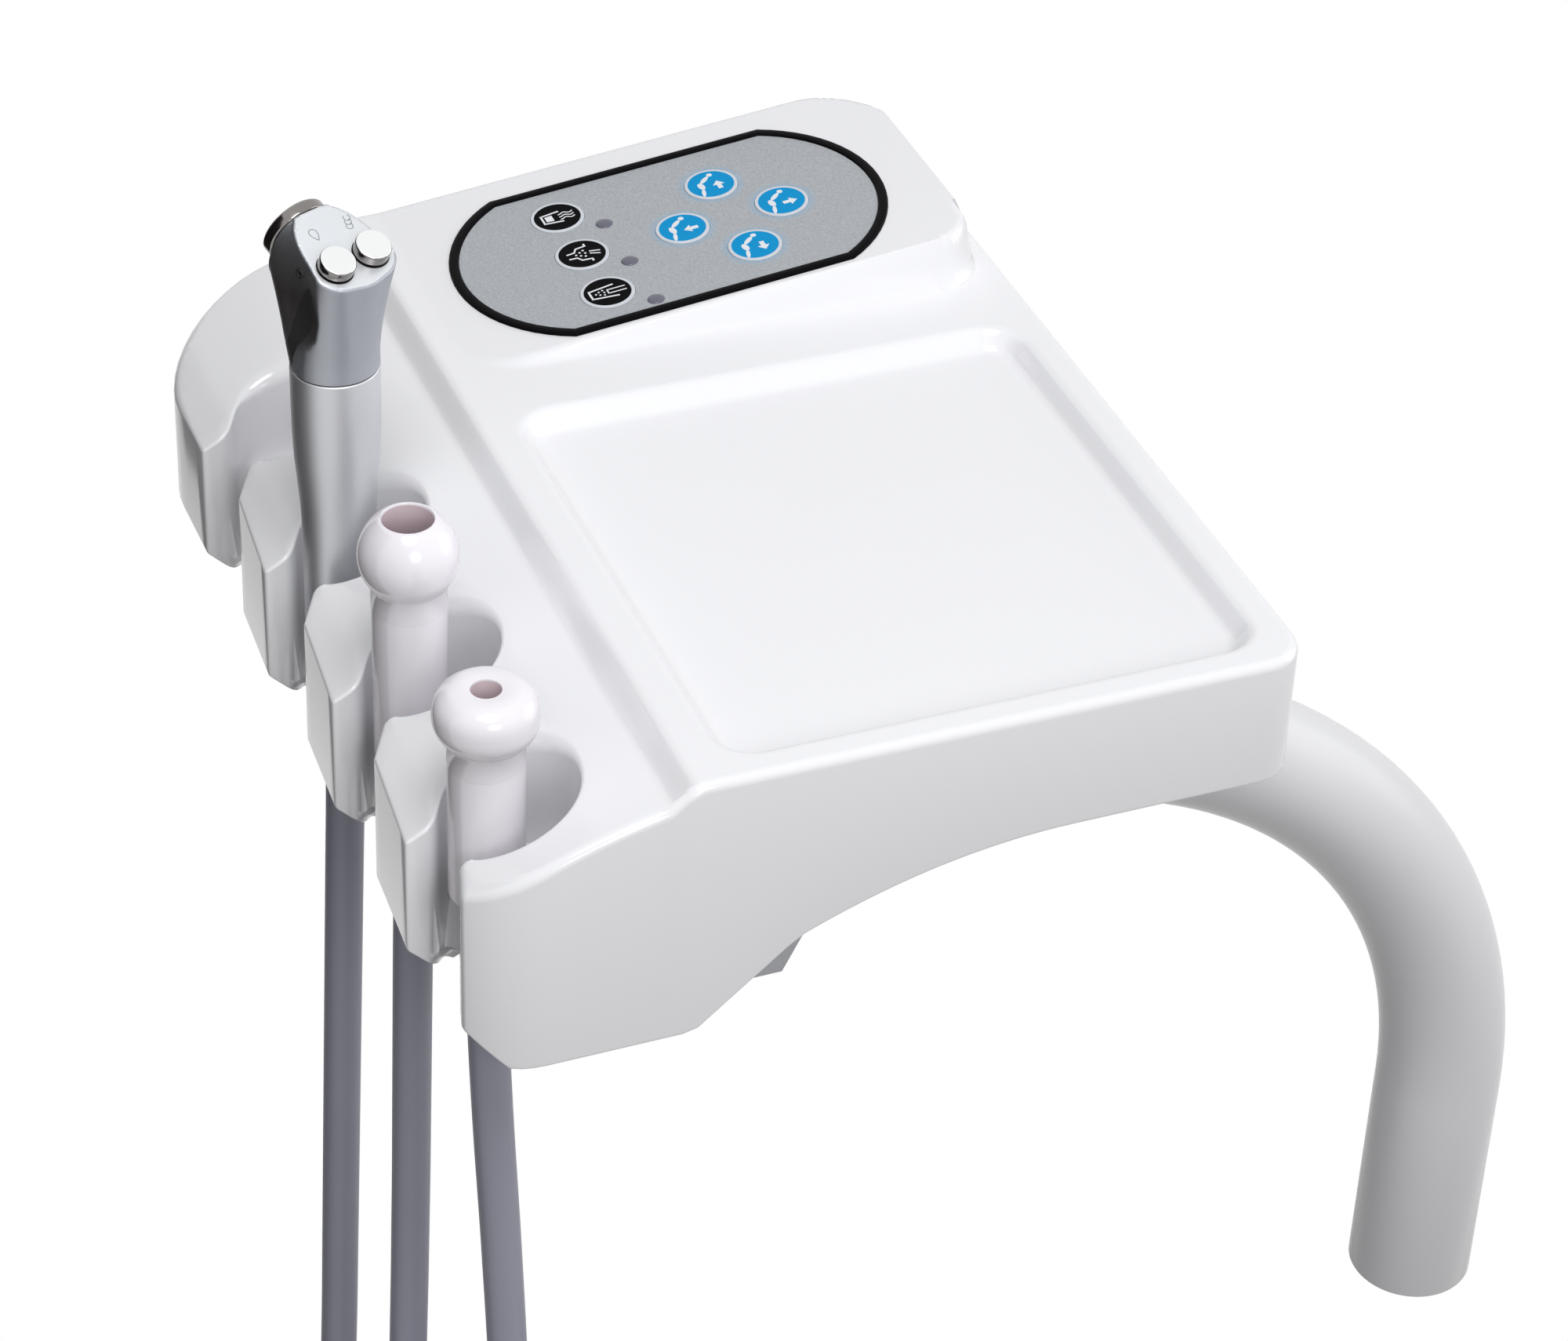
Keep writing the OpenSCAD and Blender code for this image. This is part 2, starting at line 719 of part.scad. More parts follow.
module syringe_head() {
    color("slategray") at_syringe() difference() {
        hull() {
            translate([0, 0, seam_z]) cylinder(d = sleeve_d, h = shoulder_h, $fn = 32);
            for (side = [-1, 1]) on_button(side) translate([0, 0, -lobe_h])
                cylinder(r1 = lobe_foot_r, r2 = lobe_r, h = lobe_h, $fn = 32);
            on_nozzle() translate([0, 0, collar_x - 1]) cylinder(r = nozzle_below, h = 1, $fn = 32);
        }
        for (side = [-1, 1]) on_button(side) {
            translate([0, 0, -button_sink]) cylinder(r = button_d / 2 + seat_gap, h = big);
            translate([0, 0, -stem_l - button_travel - stem_spare]) cylinder(r = stem_r + run_gap, h = big);
        }
        on_nozzle() translate([0, 0, -nozzle_r]) cylinder(r = nozzle_way_r, h = big);
        translate([0, 0, seam_z - 1]) cylinder(r = core_r, h = core_high - seam_z + 1);
        on_set_screw() cylinder(r = set_screw_r + run_gap, h = big);
    }
}

module syringe_sleeve() {
    color("silver") at_syringe() rotate_extrude() polygon(concat(
        [[core_r, seam_z - fit_gap], [core_r, core_low], [spigot_r, core_low], [spigot_r, foot_z],
         [sleeve_foot_d / 2, foot_z]],
        [for (p = sleeve_profile) [sleeve_foot_d / 2 + p[1], p[0]]],
        [[sleeve_d / 2 - sleeve_bulge_in, sleeve_bulge_z], [sleeve_d / 2, sleeve_full_z],
         [sleeve_d / 2, seam_z - fit_gap]]));
}

module syringe_collar() {
    groove_z = collar_l - nozzle_seal_h;
    groove_r = nozzle_r + nozzle_seal_w;
    color("gainsboro") at_syringe() on_nozzle() translate([0, 0, collar_x]) rotate_extrude() polygon([
        [nozzle_r, 0], [collar_r - collar_edge, 0], [collar_r, collar_edge],
        [collar_r, collar_l - collar_nose], [collar_r - collar_nose, collar_l],
        [groove_r, collar_l], [groove_r, groove_z], [nozzle_r, groove_z]]);
}

module collar_seal() {
    color("black") at_syringe() on_nozzle() translate([0, 0, collar_x + collar_l - nozzle_seal_h])
        difference() {
            cylinder(r = nozzle_r + nozzle_seal_w - run_gap, h = nozzle_seal_h - collar_edge);
            translate([0, 0, -1]) cylinder(r = nozzle_r, h = nozzle_seal_h + 2);
        }
}

module valve_core() {
    color("goldenrod") at_syringe() difference() {
        translate([0, 0, core_low]) cylinder(r = core_r - run_gap, h = core_high - core_low - run_gap);
        for (side = [-1, 1]) translate([0, side * port_y, core_low - 1]) cylinder(r = port_r, h = big);
    }
}

module syringe_button(side) {
    body_h = button_h - button_edge;
    at_syringe() on_button(side) {
        translate([0, 0, button_lift]) cylinder(d = button_d, h = body_h);
        translate([0, 0, button_lift + body_h])
            cylinder(d1 = button_d, d2 = button_d - 2 * button_edge, h = button_edge);
        translate([0, 0, -stem_l]) cylinder(r = stem_r, h = stem_l + button_edge);
    }
}

module air_button() { color("gainsboro") syringe_button(-1); }
module water_button() { color("gainsboro") syringe_button(1); }

module button_spring(side) {
    at_syringe() on_button(side) translate([0, 0, -button_sink]) difference() {
        cylinder(r = stem_r + spring_clear + spring_t, h = button_sink);
        translate([0, 0, -1]) cylinder(r = stem_r + spring_clear, h = button_sink + 2);
    }
}

module air_spring() { color("silver") button_spring(-1); }
module water_spring() { color("silver") button_spring(1); }

module head_set_screw() {
    color("dimgray") at_syringe() on_set_screw() difference() {
        cylinder(r = set_screw_r, h = set_screw_l);
        translate([0, 0, set_screw_l - set_screw_hex]) cylinder(r = set_screw_r / 2, h = 2, $fn = 6);
    }
}

// The nut that holds a hose: a spigot in the handpiece's bore and a short neck through the seat's hole
module hose_nut(i, bore_r) {
    color("gainsboro") at_slot(i) difference() {
        union() {
            translate([0, 0, -nut_low]) cylinder(r = nut_r, h = nut_low + foot_z);
            translate([0, 0, foot_z]) cylinder(r = bore_r - run_gap, h = spigot_l);
        }
        translate([0, 0, nut_floor - nut_low]) cylinder(r = nut_bore_r, h = big);
    }
}

module syringe_hose_nut() { hose_nut(2, spigot_r); }
module suction_hose_nut() { hose_nut(1, suction_bore / 2); }
module ejector_hose_nut() { hose_nut(0, suction_bore / 2); }

// A suction handpiece: a straight tube whose spigot carries the turning tip
module handpiece_body(i, collar_z) {
    groove_z = collar_z + seal_z;
    color("white") at_slot(i) rotate_extrude() polygon([
        [suction_bore / 2, foot_z], [suction_d / 2, foot_z], [suction_d / 2, collar_z],
        [tip_spigot_r, collar_z], [tip_spigot_r, groove_z], [seal_r, groove_z],
        [seal_r, groove_z + seal_h], [tip_spigot_r, groove_z + seal_h],
        [tip_spigot_r, collar_z + tip_spigot_l],
        [suction_bore / 2, collar_z + tip_spigot_l]]);
}

module handpiece_seal(i, collar_z) {
    color("black") at_slot(i) translate([0, 0, collar_z + seal_z + run_gap]) difference() {
        cylinder(r = tip_spigot_r - run_gap, h = seal_h - 2 * run_gap);
        translate([0, 0, -1]) cylinder(r = seal_r + run_gap, h = seal_h + 2);
    }
}

// A ball-shaped tip: a skirt over the spigot, a round or flattened ball and the mouth on top
module handpiece_tip(i, collar_z, ball_d, ball_half_h, mouth_d, lip) {
    ball_r = ball_d / 2;
    mid_z = collar_z + skirt_h + ball_half_h * cos(asin(skirt_r / ball_r));
    top_angle = asin((mouth_d / 2 + lip) / ball_r);
    low_angle = 180 - asin(skirt_r / ball_r);
    spigot_top = collar_z + tip_spigot_l;
    color("white") at_slot(i) rotate_extrude() polygon(concat(
        [[tip_spigot_r + run_gap, collar_z + fit_gap], [skirt_r, collar_z + fit_gap]],
        [for (a = spread(low_angle, top_angle, ball_steps)) [ball_r * sin(a), mid_z + ball_half_h * cos(a)]],
        [[mouth_d / 2, mid_z + ball_half_h * cos(top_angle)], [mouth_d / 2, spigot_top + mouth_step],
         [tip_spigot_r + run_gap, spigot_top + fit_gap]]));
}

module suction_body() { handpiece_body(1, strong_collar_z); }
module suction_seal() { handpiece_seal(1, strong_collar_z); }
module suction_tip() {
    handpiece_tip(1, strong_collar_z, strong_tip_d, strong_tip_d / 2, strong_mouth_d, strong_lip);
}
module ejector_body() { handpiece_body(0, ejector_collar_z); }
module ejector_seal() { handpiece_seal(0, ejector_collar_z); }
module ejector_tip() {
    handpiece_tip(0, ejector_collar_z, ejector_tip_d, ejector_half_h, ejector_mouth_d, ejector_lip);
}

// One tube swept along points: a ring of corners at each point, triangles between rings and at both ends
function unit(v) = v / norm(v);
function heading(p, i) = unit(p[min(i + 1, len(p) - 1)] - p[max(i - 1, 0)]);
function ring_at(p, i, r, sides) =
    let (t = heading(p, i), n = unit(cross(t, [1, 0, 0])), b = cross(t, n))
    [for (k = [0 : sides - 1]) p[i] + r * (cos(360 * k / sides) * n + sin(360 * k / sides) * b)];
module swept_tube(p, r, sides) {
    last = (len(p) - 1) * sides;
    polyhedron(
        points = [for (i = [0 : len(p) - 1]) each ring_at(p, i, r, sides)],
        faces = concat(
            [for (k = [1 : sides - 2]) [0, k, k + 1]],
            [for (i = [0 : len(p) - 2]) for (k = [0 : sides - 1]) each
                let (a = i * sides + k, b = i * sides + (k + 1) % sides)
                [[a, a + sides, b], [b, a + sides, b + sides]]],
            [for (k = [1 : sides - 2]) [last, last + k + 1, last + k]]));
}

module hose(i, route) {
    color("slategray") at_console()
        swept_tube([for (p = route) [slot_x(i), p[0] - seat_y, p[1] - nut_low]], hose_d / 2, hose_sides);
}

// A coil of two layers: the turns spiral in, climb to the second layer and spiral out again
function coil_radius(t) = coil_r - turn_pitch * min(t, coil_turns - t);
function coil_shift(t) = turn_pitch * min(1, max(0, (t - climb_from) / 0.5));
function coil_points(i, start) =
    let (x = slot_x(i), y = start[0] + coil_r, z = start[1] - coil_lead)
    concat(
        [[x, start[0], start[1]]],
        [for (k = [0 : coil_turns * rings_per_turn])
            let (t = k / rings_per_turn, a = 180 + 360 * t)
            [x + coil_shift(t), y + coil_radius(t) * cos(a), z + coil_radius(t) * sin(a)]],
        [[x + turn_pitch, y + coil_r, z + coil_tail / 2], [x + turn_pitch, y + coil_r, z + coil_tail]]);
function least_gap(p) =
    min([for (i = [0 : len(p) - 1]) for (j = [i + 1 : len(p) - 1]) if (j - i > rings_per_turn / 2)
        norm(p[i] - p[j])]) - hose_d;
function route_end(route) = route[len(route) - 1] - [seat_y, nut_low];

module hose_coil(i, route) {
    points = coil_points(i, route_end(route));
    echo(least_gap_between_turns = least_gap(points));
    color("slategray") at_console() swept_tube(points, hose_d / 2, coil_sides);
}

// The strap that ties a coil at its top, where three turns pass
module hose_tie(i, route) {
    start = route_end(route);
    high = coil_radius(tie_turn) + hose_d / 2 + tie_gap;
    low = coil_radius(tie_turn + 1) - hose_d / 2 - tie_gap;
    wide = turn_pitch + hose_d + 2 * tie_gap;
    color("dimgray") at_console()
        translate([slot_x(i) + turn_pitch / 2, start[0] + coil_r, start[1] - coil_lead + (low + high) / 2])
            difference() {
                cube([wide + 2 * tie_t, tie_w, high - low + 2 * tie_t], center = true);
                cube([wide, tie_w + 2, high - low], center = true);
            }
}

// The piece on a hose's far end, standing on the coil's last straight
module at_hose_end(i, route) {
    start = route_end(route);
    at_console() translate([slot_x(i) + turn_pitch, start[0] + 2 * coil_r, start[1] - coil_lead + coil_tail])
        children();
}

module syringe_hose() { hose(2, syringe_route); }
module syringe_hose_coil() { hose_coil(2, syringe_route); }
module syringe_hose_tie() { hose_tie(2, syringe_route); }
module syringe_coupling() {
    hex_top = coupling_body_l + coupling_hex_l;
    color("silver") at_hose_end(2, syringe_route) difference() {
        union() {
            cylinder(r = cuff_r, h = coupling_body_l);
            translate([0, 0, coupling_body_l]) cylinder(r = cuff_rim_r, h = coupling_hex_l, $fn = 6);
            translate([0, 0, hex_top]) cylinder(d = hose_d, h = coupling_l - hex_top);
        }
        for (side = [-1, 1]) translate([0, side * coupling_port[0], coupling_port[2]])
            cylinder(r = coupling_port[1], h = big);
    }
}

module hose_cuff(i, route) {
    color("white") at_hose_end(i, route) rotate_extrude() polygon([
        [0, 0], [cuff_r, 0], [cuff_rim_r, cuff_taper], [cuff_rim_r, cuff_rim_l],
        [cuff_r, cuff_rim_l + cuff_neck], [cuff_r, cuff_l], [cuff_bore_r, cuff_l],
        [cuff_bore_r, cuff_floor], [0, cuff_floor]]);
}

module suction_hose() { hose(1, suction_route); }
module suction_hose_coil() { hose_coil(1, suction_route); }
module suction_hose_tie() { hose_tie(1, suction_route); }
module suction_cuff() { hose_cuff(1, suction_route); }
module ejector_hose() { hose(0, ejector_route); }
module ejector_hose_coil() { hose_coil(0, ejector_route); }
module ejector_hose_tie() { hose_tie(0, ejector_route); }
module ejector_cuff() { hose_cuff(0, ejector_route); }

console_shell();
bottom_cover();
cover_screws();
arm_socket();
socket_screws();
clamp_screws();
arm_tube();
keypad_bezel();
keypad_plate();
heater_key();
bowl_key();
cup_key();
chair_up_key();
chair_down_key();
back_up_key();
back_down_key();
led_lenses();
keypad_leds();
keypad_board();
dome_switches();
board_screws();
keypad_ribbon();
ribbon_plug();
syringe_head();
syringe_sleeve();
syringe_collar();
collar_seal();
valve_core();
air_button();
water_button();
air_spring();
water_spring();
head_set_screw();
syringe_hose_nut();
syringe_hose();
syringe_hose_coil();
syringe_hose_tie();
syringe_coupling();
suction_body();
suction_tip();
suction_seal();
suction_hose_nut();
suction_hose();
suction_hose_coil();
suction_hose_tie();
suction_cuff();
ejector_body();
ejector_tip();
ejector_seal();
ejector_hose_nut();
ejector_hose();
ejector_hose_coil();
ejector_hose_tie();
ejector_cuff();
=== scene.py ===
# %% [markdown]
# # An assistant's instrument console for a dental unit
# The real object is a white moulded console on a bent tube. It has a tray, a keypad and four holder slots, and it
# carries a three-way syringe and two suction handpieces on hoses. The measured solids come in first as a fixed
# frame, and every piece below is modelled over the solid that it stands for.

# %% Load the measured solids
import json
from math import acos, asin, atan2, cos, hypot, pi, radians, sin, sqrt, tau
import bpy
import numpy as np
from mathutils import Matrix, Vector


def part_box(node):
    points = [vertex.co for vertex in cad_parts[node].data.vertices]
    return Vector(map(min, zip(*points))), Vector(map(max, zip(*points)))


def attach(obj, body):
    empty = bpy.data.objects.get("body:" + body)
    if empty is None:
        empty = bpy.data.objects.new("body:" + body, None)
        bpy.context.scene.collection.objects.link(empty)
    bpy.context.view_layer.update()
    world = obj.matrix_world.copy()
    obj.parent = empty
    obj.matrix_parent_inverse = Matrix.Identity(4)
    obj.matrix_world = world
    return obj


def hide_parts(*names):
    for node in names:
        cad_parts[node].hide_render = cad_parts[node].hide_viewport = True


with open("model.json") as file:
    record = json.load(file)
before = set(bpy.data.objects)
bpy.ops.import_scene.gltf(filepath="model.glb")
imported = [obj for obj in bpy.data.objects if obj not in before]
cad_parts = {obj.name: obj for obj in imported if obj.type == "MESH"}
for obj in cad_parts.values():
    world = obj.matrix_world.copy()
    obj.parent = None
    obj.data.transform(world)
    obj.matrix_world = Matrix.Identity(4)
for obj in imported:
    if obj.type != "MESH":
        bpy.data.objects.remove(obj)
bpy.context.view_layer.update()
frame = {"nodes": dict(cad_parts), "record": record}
MM = 0.001

# %% [markdown]
# ## Where things are
# Sizes are written in millimetres from the console's own corner: x is counted from the near wall's outside, y from
# the ridge between tray and holders, z from the tray's rim. The corner is read from the console's solid, so the
# looks follow the solid if it moves.

# %% The console's corner and its slots
TRAY_D, WEDGE_RISE = 170, 17
shell_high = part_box("console_shell")[1]
CORNER = Vector((shell_high.x, shell_high.y - TRAY_D * MM, shell_high.z - WEDGE_RISE * MM))
SLOT_X = {"ejector": -31.5, "suction": -93.5, "syringe": -155.5, "spare": -217.5}
SEAT_Y, FOOT_Z = -44.2, -44.7


def spot(x, y, z):
    """A place on the console, from millimetres to the shared frame in metres."""
    return CORNER + Vector((x, y, z)) * MM


slot_frame = {name: Matrix.Translation(spot(x, SEAT_Y, 0)) for name, x in SLOT_X.items()}
print("console corner:", [round(v, 4) for v in CORNER])

# %% [markdown]
# ## Camera
# The picture was taken from above the near corner, with the console turned away. A long lens keeps the side edges
# almost parallel. The camera's axes are worked out from its turn, its dip and a slight roll, because three angles
# are easier to read than nine matrix numbers.

# %% Camera
def camera_axes(azimuth, elevation, roll):
    a, e, r = (radians(v) for v in (azimuth, elevation, roll))
    right = Vector((cos(a), sin(a), 0))
    back = Vector((sin(a) * cos(e), -cos(a) * cos(e), sin(e)))
    up = back.cross(right)
    across = right * cos(r) + up * sin(r)
    upright = up * cos(r) - right * sin(r)
    return Matrix((across, upright, back)).transposed()


bpy.ops.object.select_all(action="DESELECT")
bpy.ops.object.camera_add(location=(0.8917, -0.6042, 1.0042))
camera = bpy.context.object
camera.rotation_euler = camera_axes(66.883, 36.588, 2.515).to_euler()
camera.data.lens = 105
camera.data.sensor_width = 36
bpy.context.scene.camera = camera
print("camera at", [round(v, 3) for v in camera.location])

# %% [markdown]
# ## Modelling helpers
# Three ways of making a piece come back all the time. A turned piece is a profile drawn by extruding one vertex and
# spun round its axis, as on a lathe. A lofted piece is a skin over rings, for a shape that changes on its way up. A
# softened piece is a copy of a measured solid whose edges get a small bevel, because no moulded or machined edge is a
# knife edge. A modifier is applied at once, so the mesh is final.

# %% Selecting, adding, placing
WELD = 0.002


def mode(name):
    bpy.ops.object.mode_set(mode=name)


def deselect():
    if bpy.context.object and bpy.context.object.mode != "OBJECT":
        mode("OBJECT")
    bpy.ops.object.select_all(action="DESELECT")


def take(piece, *others):
    deselect()
    for each in (piece, *others):
        each.select_set(True)
    bpy.context.view_layer.objects.active = piece


def add(name, data):
    piece = bpy.data.objects.new(name, data)
    bpy.context.scene.collection.objects.link(piece)
    return piece


def mesh_piece(name, points, faces):
    """A piece from points in millimetres and the faces between them."""
    mesh = bpy.data.meshes.new(name)
    mesh.from_pydata((np.array(points) * MM).tolist(), [], faces)
    return add(name, mesh)


def shift(x, y, z=0):
    return Matrix.Translation((x * MM, y * MM, z * MM))


def place(piece, matrix):
    take(piece)
    piece.matrix_world = matrix
    bpy.ops.object.transform_apply(location=True, rotation=True, scale=True)


# %% Changing a mesh
def apply_modifier(piece, kind, **settings):
    take(piece)
    modifier = piece.modifiers.new(kind.lower(), kind)
    for key, value in settings.items():
        setattr(modifier, key, value)
    bpy.ops.object.modifier_apply(modifier=modifier.name)


def shade(piece, angle=35):
    take(piece)
    bpy.ops.object.shade_smooth_by_angle(angle=radians(angle))


def join(first, *others):
    """Makes one object of several, under the first one's name."""
    take(first, *others)
    bpy.ops.object.join()


def clean(piece, outwards=True):
    take(piece)
    mode("EDIT")
    bpy.ops.mesh.select_all(action="SELECT")
    bpy.ops.mesh.remove_doubles(threshold=WELD * MM)
    if outwards:
        bpy.ops.mesh.normals_make_consistent(inside=False)
    mode("OBJECT")


# %% A skin over rings
def loft(name, rings, close_first=False, close_last=False, loop=False):
    """A skin over rings that all have the same number of points."""
    count = len(rings[0])
    pairs = [(r, r + 1) for r in range(len(rings) - 1)] + ([(len(rings) - 1, 0)] if loop else [])
    faces = [(a * count + i, a * count + (i + 1) % count, b * count + (i + 1) % count, b * count + i)
             for a, b in pairs for i in range(count)]
    faces += [list(range(count))[::-1]] if close_first else []
    faces += [[(len(rings) - 1) * count + i for i in range(count)]] if close_last else []
    return mesh_piece(name, [point for ring in rings for point in ring], faces)


# %% Turning a profile
def rounded(profile, steps=5):
    """Each point is (radius, height) or (radius, height, rounding), in millimetres."""
    points = []
    for i, point in enumerate(profile):
        here = Vector(point[:2])
        if len(point) < 3:
            points.append(tuple(here))
            continue
        before = (Vector(profile[i - 1][:2]) - here).normalized() * point[2]
        after = (Vector(profile[(i + 1) % len(profile)][:2]) - here).normalized() * point[2]
        for k in range(steps + 1):
            t = k / steps
            points.append(tuple(here + before * (1 - t) ** 2 + after * t * t))
    return points


def turn(name, profile, steps=64, closed=False):
    deselect()
    bpy.ops.mesh.primitive_plane_add(size=MM)
    piece = bpy.context.object
    piece.name = piece.data.name = name
    mode("EDIT")
    bpy.ops.mesh.select_mode(type="VERT")
    bpy.ops.mesh.select_all(action="SELECT")
    bpy.ops.mesh.merge(type="CENTER")
    bpy.ops.transform.translate(value=(profile[0][0] * MM, 0, profile[0][1] * MM))
    line = list(profile) + ([profile[0]] if closed else [])
    for (r0, h0), (r1, h1) in zip(line, line[1:]):
        step = ((r1 - r0) * MM, 0, (h1 - h0) * MM)
        bpy.ops.mesh.extrude_vertices_move(TRANSFORM_OT_translate={"value": step})
    bpy.ops.mesh.select_all(action="SELECT")
    bpy.ops.mesh.spin(steps=steps, angle=tau, center=(0, 0, 0), axis=(0, 0, 1))
    clean(piece)
    return piece


# %% Softening a copy of a solid
def soften(node_name, width, slot, body):
    piece = add(node_name + "_look", frame["nodes"][node_name].data.copy())
    clean(piece, outwards=False)
    mode("EDIT")
    bpy.ops.mesh.dissolve_limited(angle_limit=radians(1))
    mode("OBJECT")
    apply_modifier(piece, "BEVEL", width=width * MM, segments=3, limit_method="ANGLE",
                   angle_limit=radians(30), use_clamp_overlap=True)
    shade(piece, 40)
    paint(piece, slot)
    return dress(piece, slot, body, node_name)


# %% Dressing a piece: its finishes, its body and the solids it stands for
def paint(piece, *names, choose=None):
    """Gives a piece its finishes. Where there are several, choose says which of them a face gets."""
    piece.data.materials.clear()
    for name in names:
        piece.data.materials.append(finishes[name])
    if choose:
        for face in piece.data.polygons:
            face.material_index = int(choose(face))


def dress(piece, slot, body, *nodes):
    if not piece.data.materials:
        paint(piece, slot)
    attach(piece, body)
    if nodes:
        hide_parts(*nodes)
    print(piece.name, "for", ", ".join(nodes) or "the look alone")
    return piece


# %% Cutting holes
def cut_out(piece, tool):
    take(tool)
    bpy.ops.object.transform_apply(location=True, rotation=True, scale=True)
    apply_modifier(piece, "BOOLEAN", operation="DIFFERENCE", object=tool, solver="EXACT")
    bpy.data.objects.remove(tool)


def drill(piece, x, y, z, radius, depth, sides=64, tilt=0):
    deselect()
    bpy.ops.mesh.primitive_cylinder_add(vertices=sides, radius=radius * MM, depth=depth * MM,
                                        location=(x * MM, y * MM, z * MM), rotation=(radians(tilt), 0, 0))
    cut_out(piece, bpy.context.object)


def saw(piece, x, y, z, size):
    deselect()
    bpy.ops.mesh.primitive_cube_add(size=1, location=(x * MM, y * MM, z * MM), scale=[s * MM for s in size])
    cut_out(piece, bpy.context.object)


# %% [markdown]
# ## Finishes
# Every surface has small changes over it that a flat colour lacks: moulded plastic is never quite even, paint has a
# faint orange peel, drawn metal has fine lines. These effects are node groups, built once and placed in each
# material with its own values. They read Object coordinates, so that nothing slides when a piece moves.

# %% Group helpers
def new_group(name, inputs, outputs):
    group = bpy.data.node_groups.new(name, "ShaderNodeTree")
    for label, kind, value in inputs:
        socket = group.interface.new_socket(label, in_out="INPUT", socket_type="NodeSocket" + kind)
        socket.default_value = value
    for label, kind in outputs:
        group.interface.new_socket(label, in_out="OUTPUT", socket_type="NodeSocket" + kind)
    start = group.nodes.new("NodeGroupInput")
    end = group.nodes.new("NodeGroupOutput")
    return group, start, end


def fill(made, settings):
    """Sets a node's inputs by name, and anything else as one of its own settings."""
    for key, value in settings.items():
        if key in made.inputs:
            made.inputs[key].default_value = value
        else:
            setattr(made, key, value)


def node(tree, kind, **settings):
    made = tree.nodes.new("ShaderNode" + kind)
    fill(made, settings)
    return made


def wire(tree, *links):
    """Each link is (from node, its output, to node, its input)."""
    for source, output, target, entry in links:
        tree.links.new(source.outputs[output], target.inputs[entry])


# The numbers of a colour mix's sockets: its share, its two colours and its result.
SHARE, FIRST, SECOND, MIXED = 0, 6, 7, 2

# %% Group: uneven colour, a slow drift between two tones with sparse fine specks
drift, drift_in, drift_out = new_group(
    "uneven_colour",
    [("Tone", "Color", (0.8, 0.8, 0.8, 1)), ("Second tone", "Color", (0.7, 0.7, 0.7, 1)),
     ("Speck", "Color", (0.3, 0.3, 0.3, 1)), ("Speck share", "Float", 0.0), ("Patch", "Float", 30.0)],
    [("Colour", "Color")])
where = node(drift, "TexCoord")
patches = node(drift, "TexNoise", Detail=3.0, Roughness=0.55)
tones = node(drift, "Mix", data_type="RGBA")
specks = node(drift, "TexVoronoi", Scale=260.0)
edge = node(drift, "Math", operation="LESS_THAN")
speckled = node(drift, "Mix", data_type="RGBA")
wire(drift, (where, "Object", patches, "Vector"), (drift_in, "Patch", patches, "Scale"), (patches, "Fac", tones, SHARE),
     (drift_in, "Tone", tones, FIRST), (drift_in, "Second tone", tones, SECOND), (where, "Object", specks, "Vector"),
     (specks, "Distance", edge, 0), (drift_in, "Speck share", edge, 1), (edge, 0, speckled, SHARE),
     (tones, MIXED, speckled, FIRST), (drift_in, "Speck", speckled, SECOND), (speckled, MIXED, drift_out, "Colour"))

# %% Group: fine grain, for bump and roughness
grain, grain_in, grain_out = new_group(
    "fine_grain",
    [("Grain", "Float", 900.0), ("Stretch", "Vector", (1, 1, 1)), ("Low", "Float", 0.3), ("High", "Float", 0.4)],
    [("Height", "Float"), ("Roughness", "Float")])
where = node(grain, "TexCoord")
stretched = node(grain, "VectorMath", operation="MULTIPLY")
fine = node(grain, "TexNoise", Detail=4.0, Roughness=0.6)
level = node(grain, "MapRange")
wire(grain, (where, "Object", stretched, 0), (grain_in, "Stretch", stretched, 1), (stretched, 0, fine, "Vector"),
     (grain_in, "Grain", fine, "Scale"), (fine, "Fac", grain_out, "Height"), (fine, "Fac", level, "Value"),
     (grain_in, "Low", level, "To Min"), (grain_in, "High", level, "To Max"),
     (level, "Result", grain_out, "Roughness"))
print("groups:", [group.name for group in bpy.data.node_groups])

# %% One finish
def srgb(code):
    """A screen colour, written like f2f2f4, to Blender's linear values."""
    part = [v / 255 for v in bytes.fromhex(code)]
    return tuple(v / 12.92 if v < 0.04045 else ((v + 0.055) / 1.055) ** 2.4 for v in part) + (1,)


finishes = {}
SPECK_TONE, COAT_ROUGHNESS, RELIEF_DEPTH = "5a5550", 0.05, 0.0003


def finish(name, tone, second, rough, metallic=0.0, coat=0.0, speck=0.0, patch=30.0, grain_size=900.0,
           stretch=(1, 1, 1), bump=0.02, gloss=0.5):
    """Two tones and two roughnesses to drift between, and what else sets a surface apart."""
    material = bpy.data.materials.new(name)
    material.use_nodes = True
    tree = material.node_tree
    shader = tree.nodes["Principled BSDF"]
    fill(shader, {"Metallic": metallic, "Coat Weight": coat, "Coat Roughness": COAT_ROUGHNESS,
                  "Specular IOR Level": gloss})
    colour = node(tree, "Group", node_tree=drift, Tone=srgb(tone), Speck=srgb(SPECK_TONE), Patch=patch,
                  **{"Second tone": srgb(second), "Speck share": speck})
    texture = node(tree, "Group", node_tree=grain, Grain=grain_size, Stretch=stretch, Low=rough[0],
                   High=rough[1])
    relief = node(tree, "Bump", Strength=bump, Distance=RELIEF_DEPTH)
    wire(tree, (colour, "Colour", shader, "Base Color"), (texture, "Roughness", shader, "Roughness"),
         (texture, "Height", relief, "Height"), (relief, "Normal", shader, "Normal"))
    finishes[name] = material


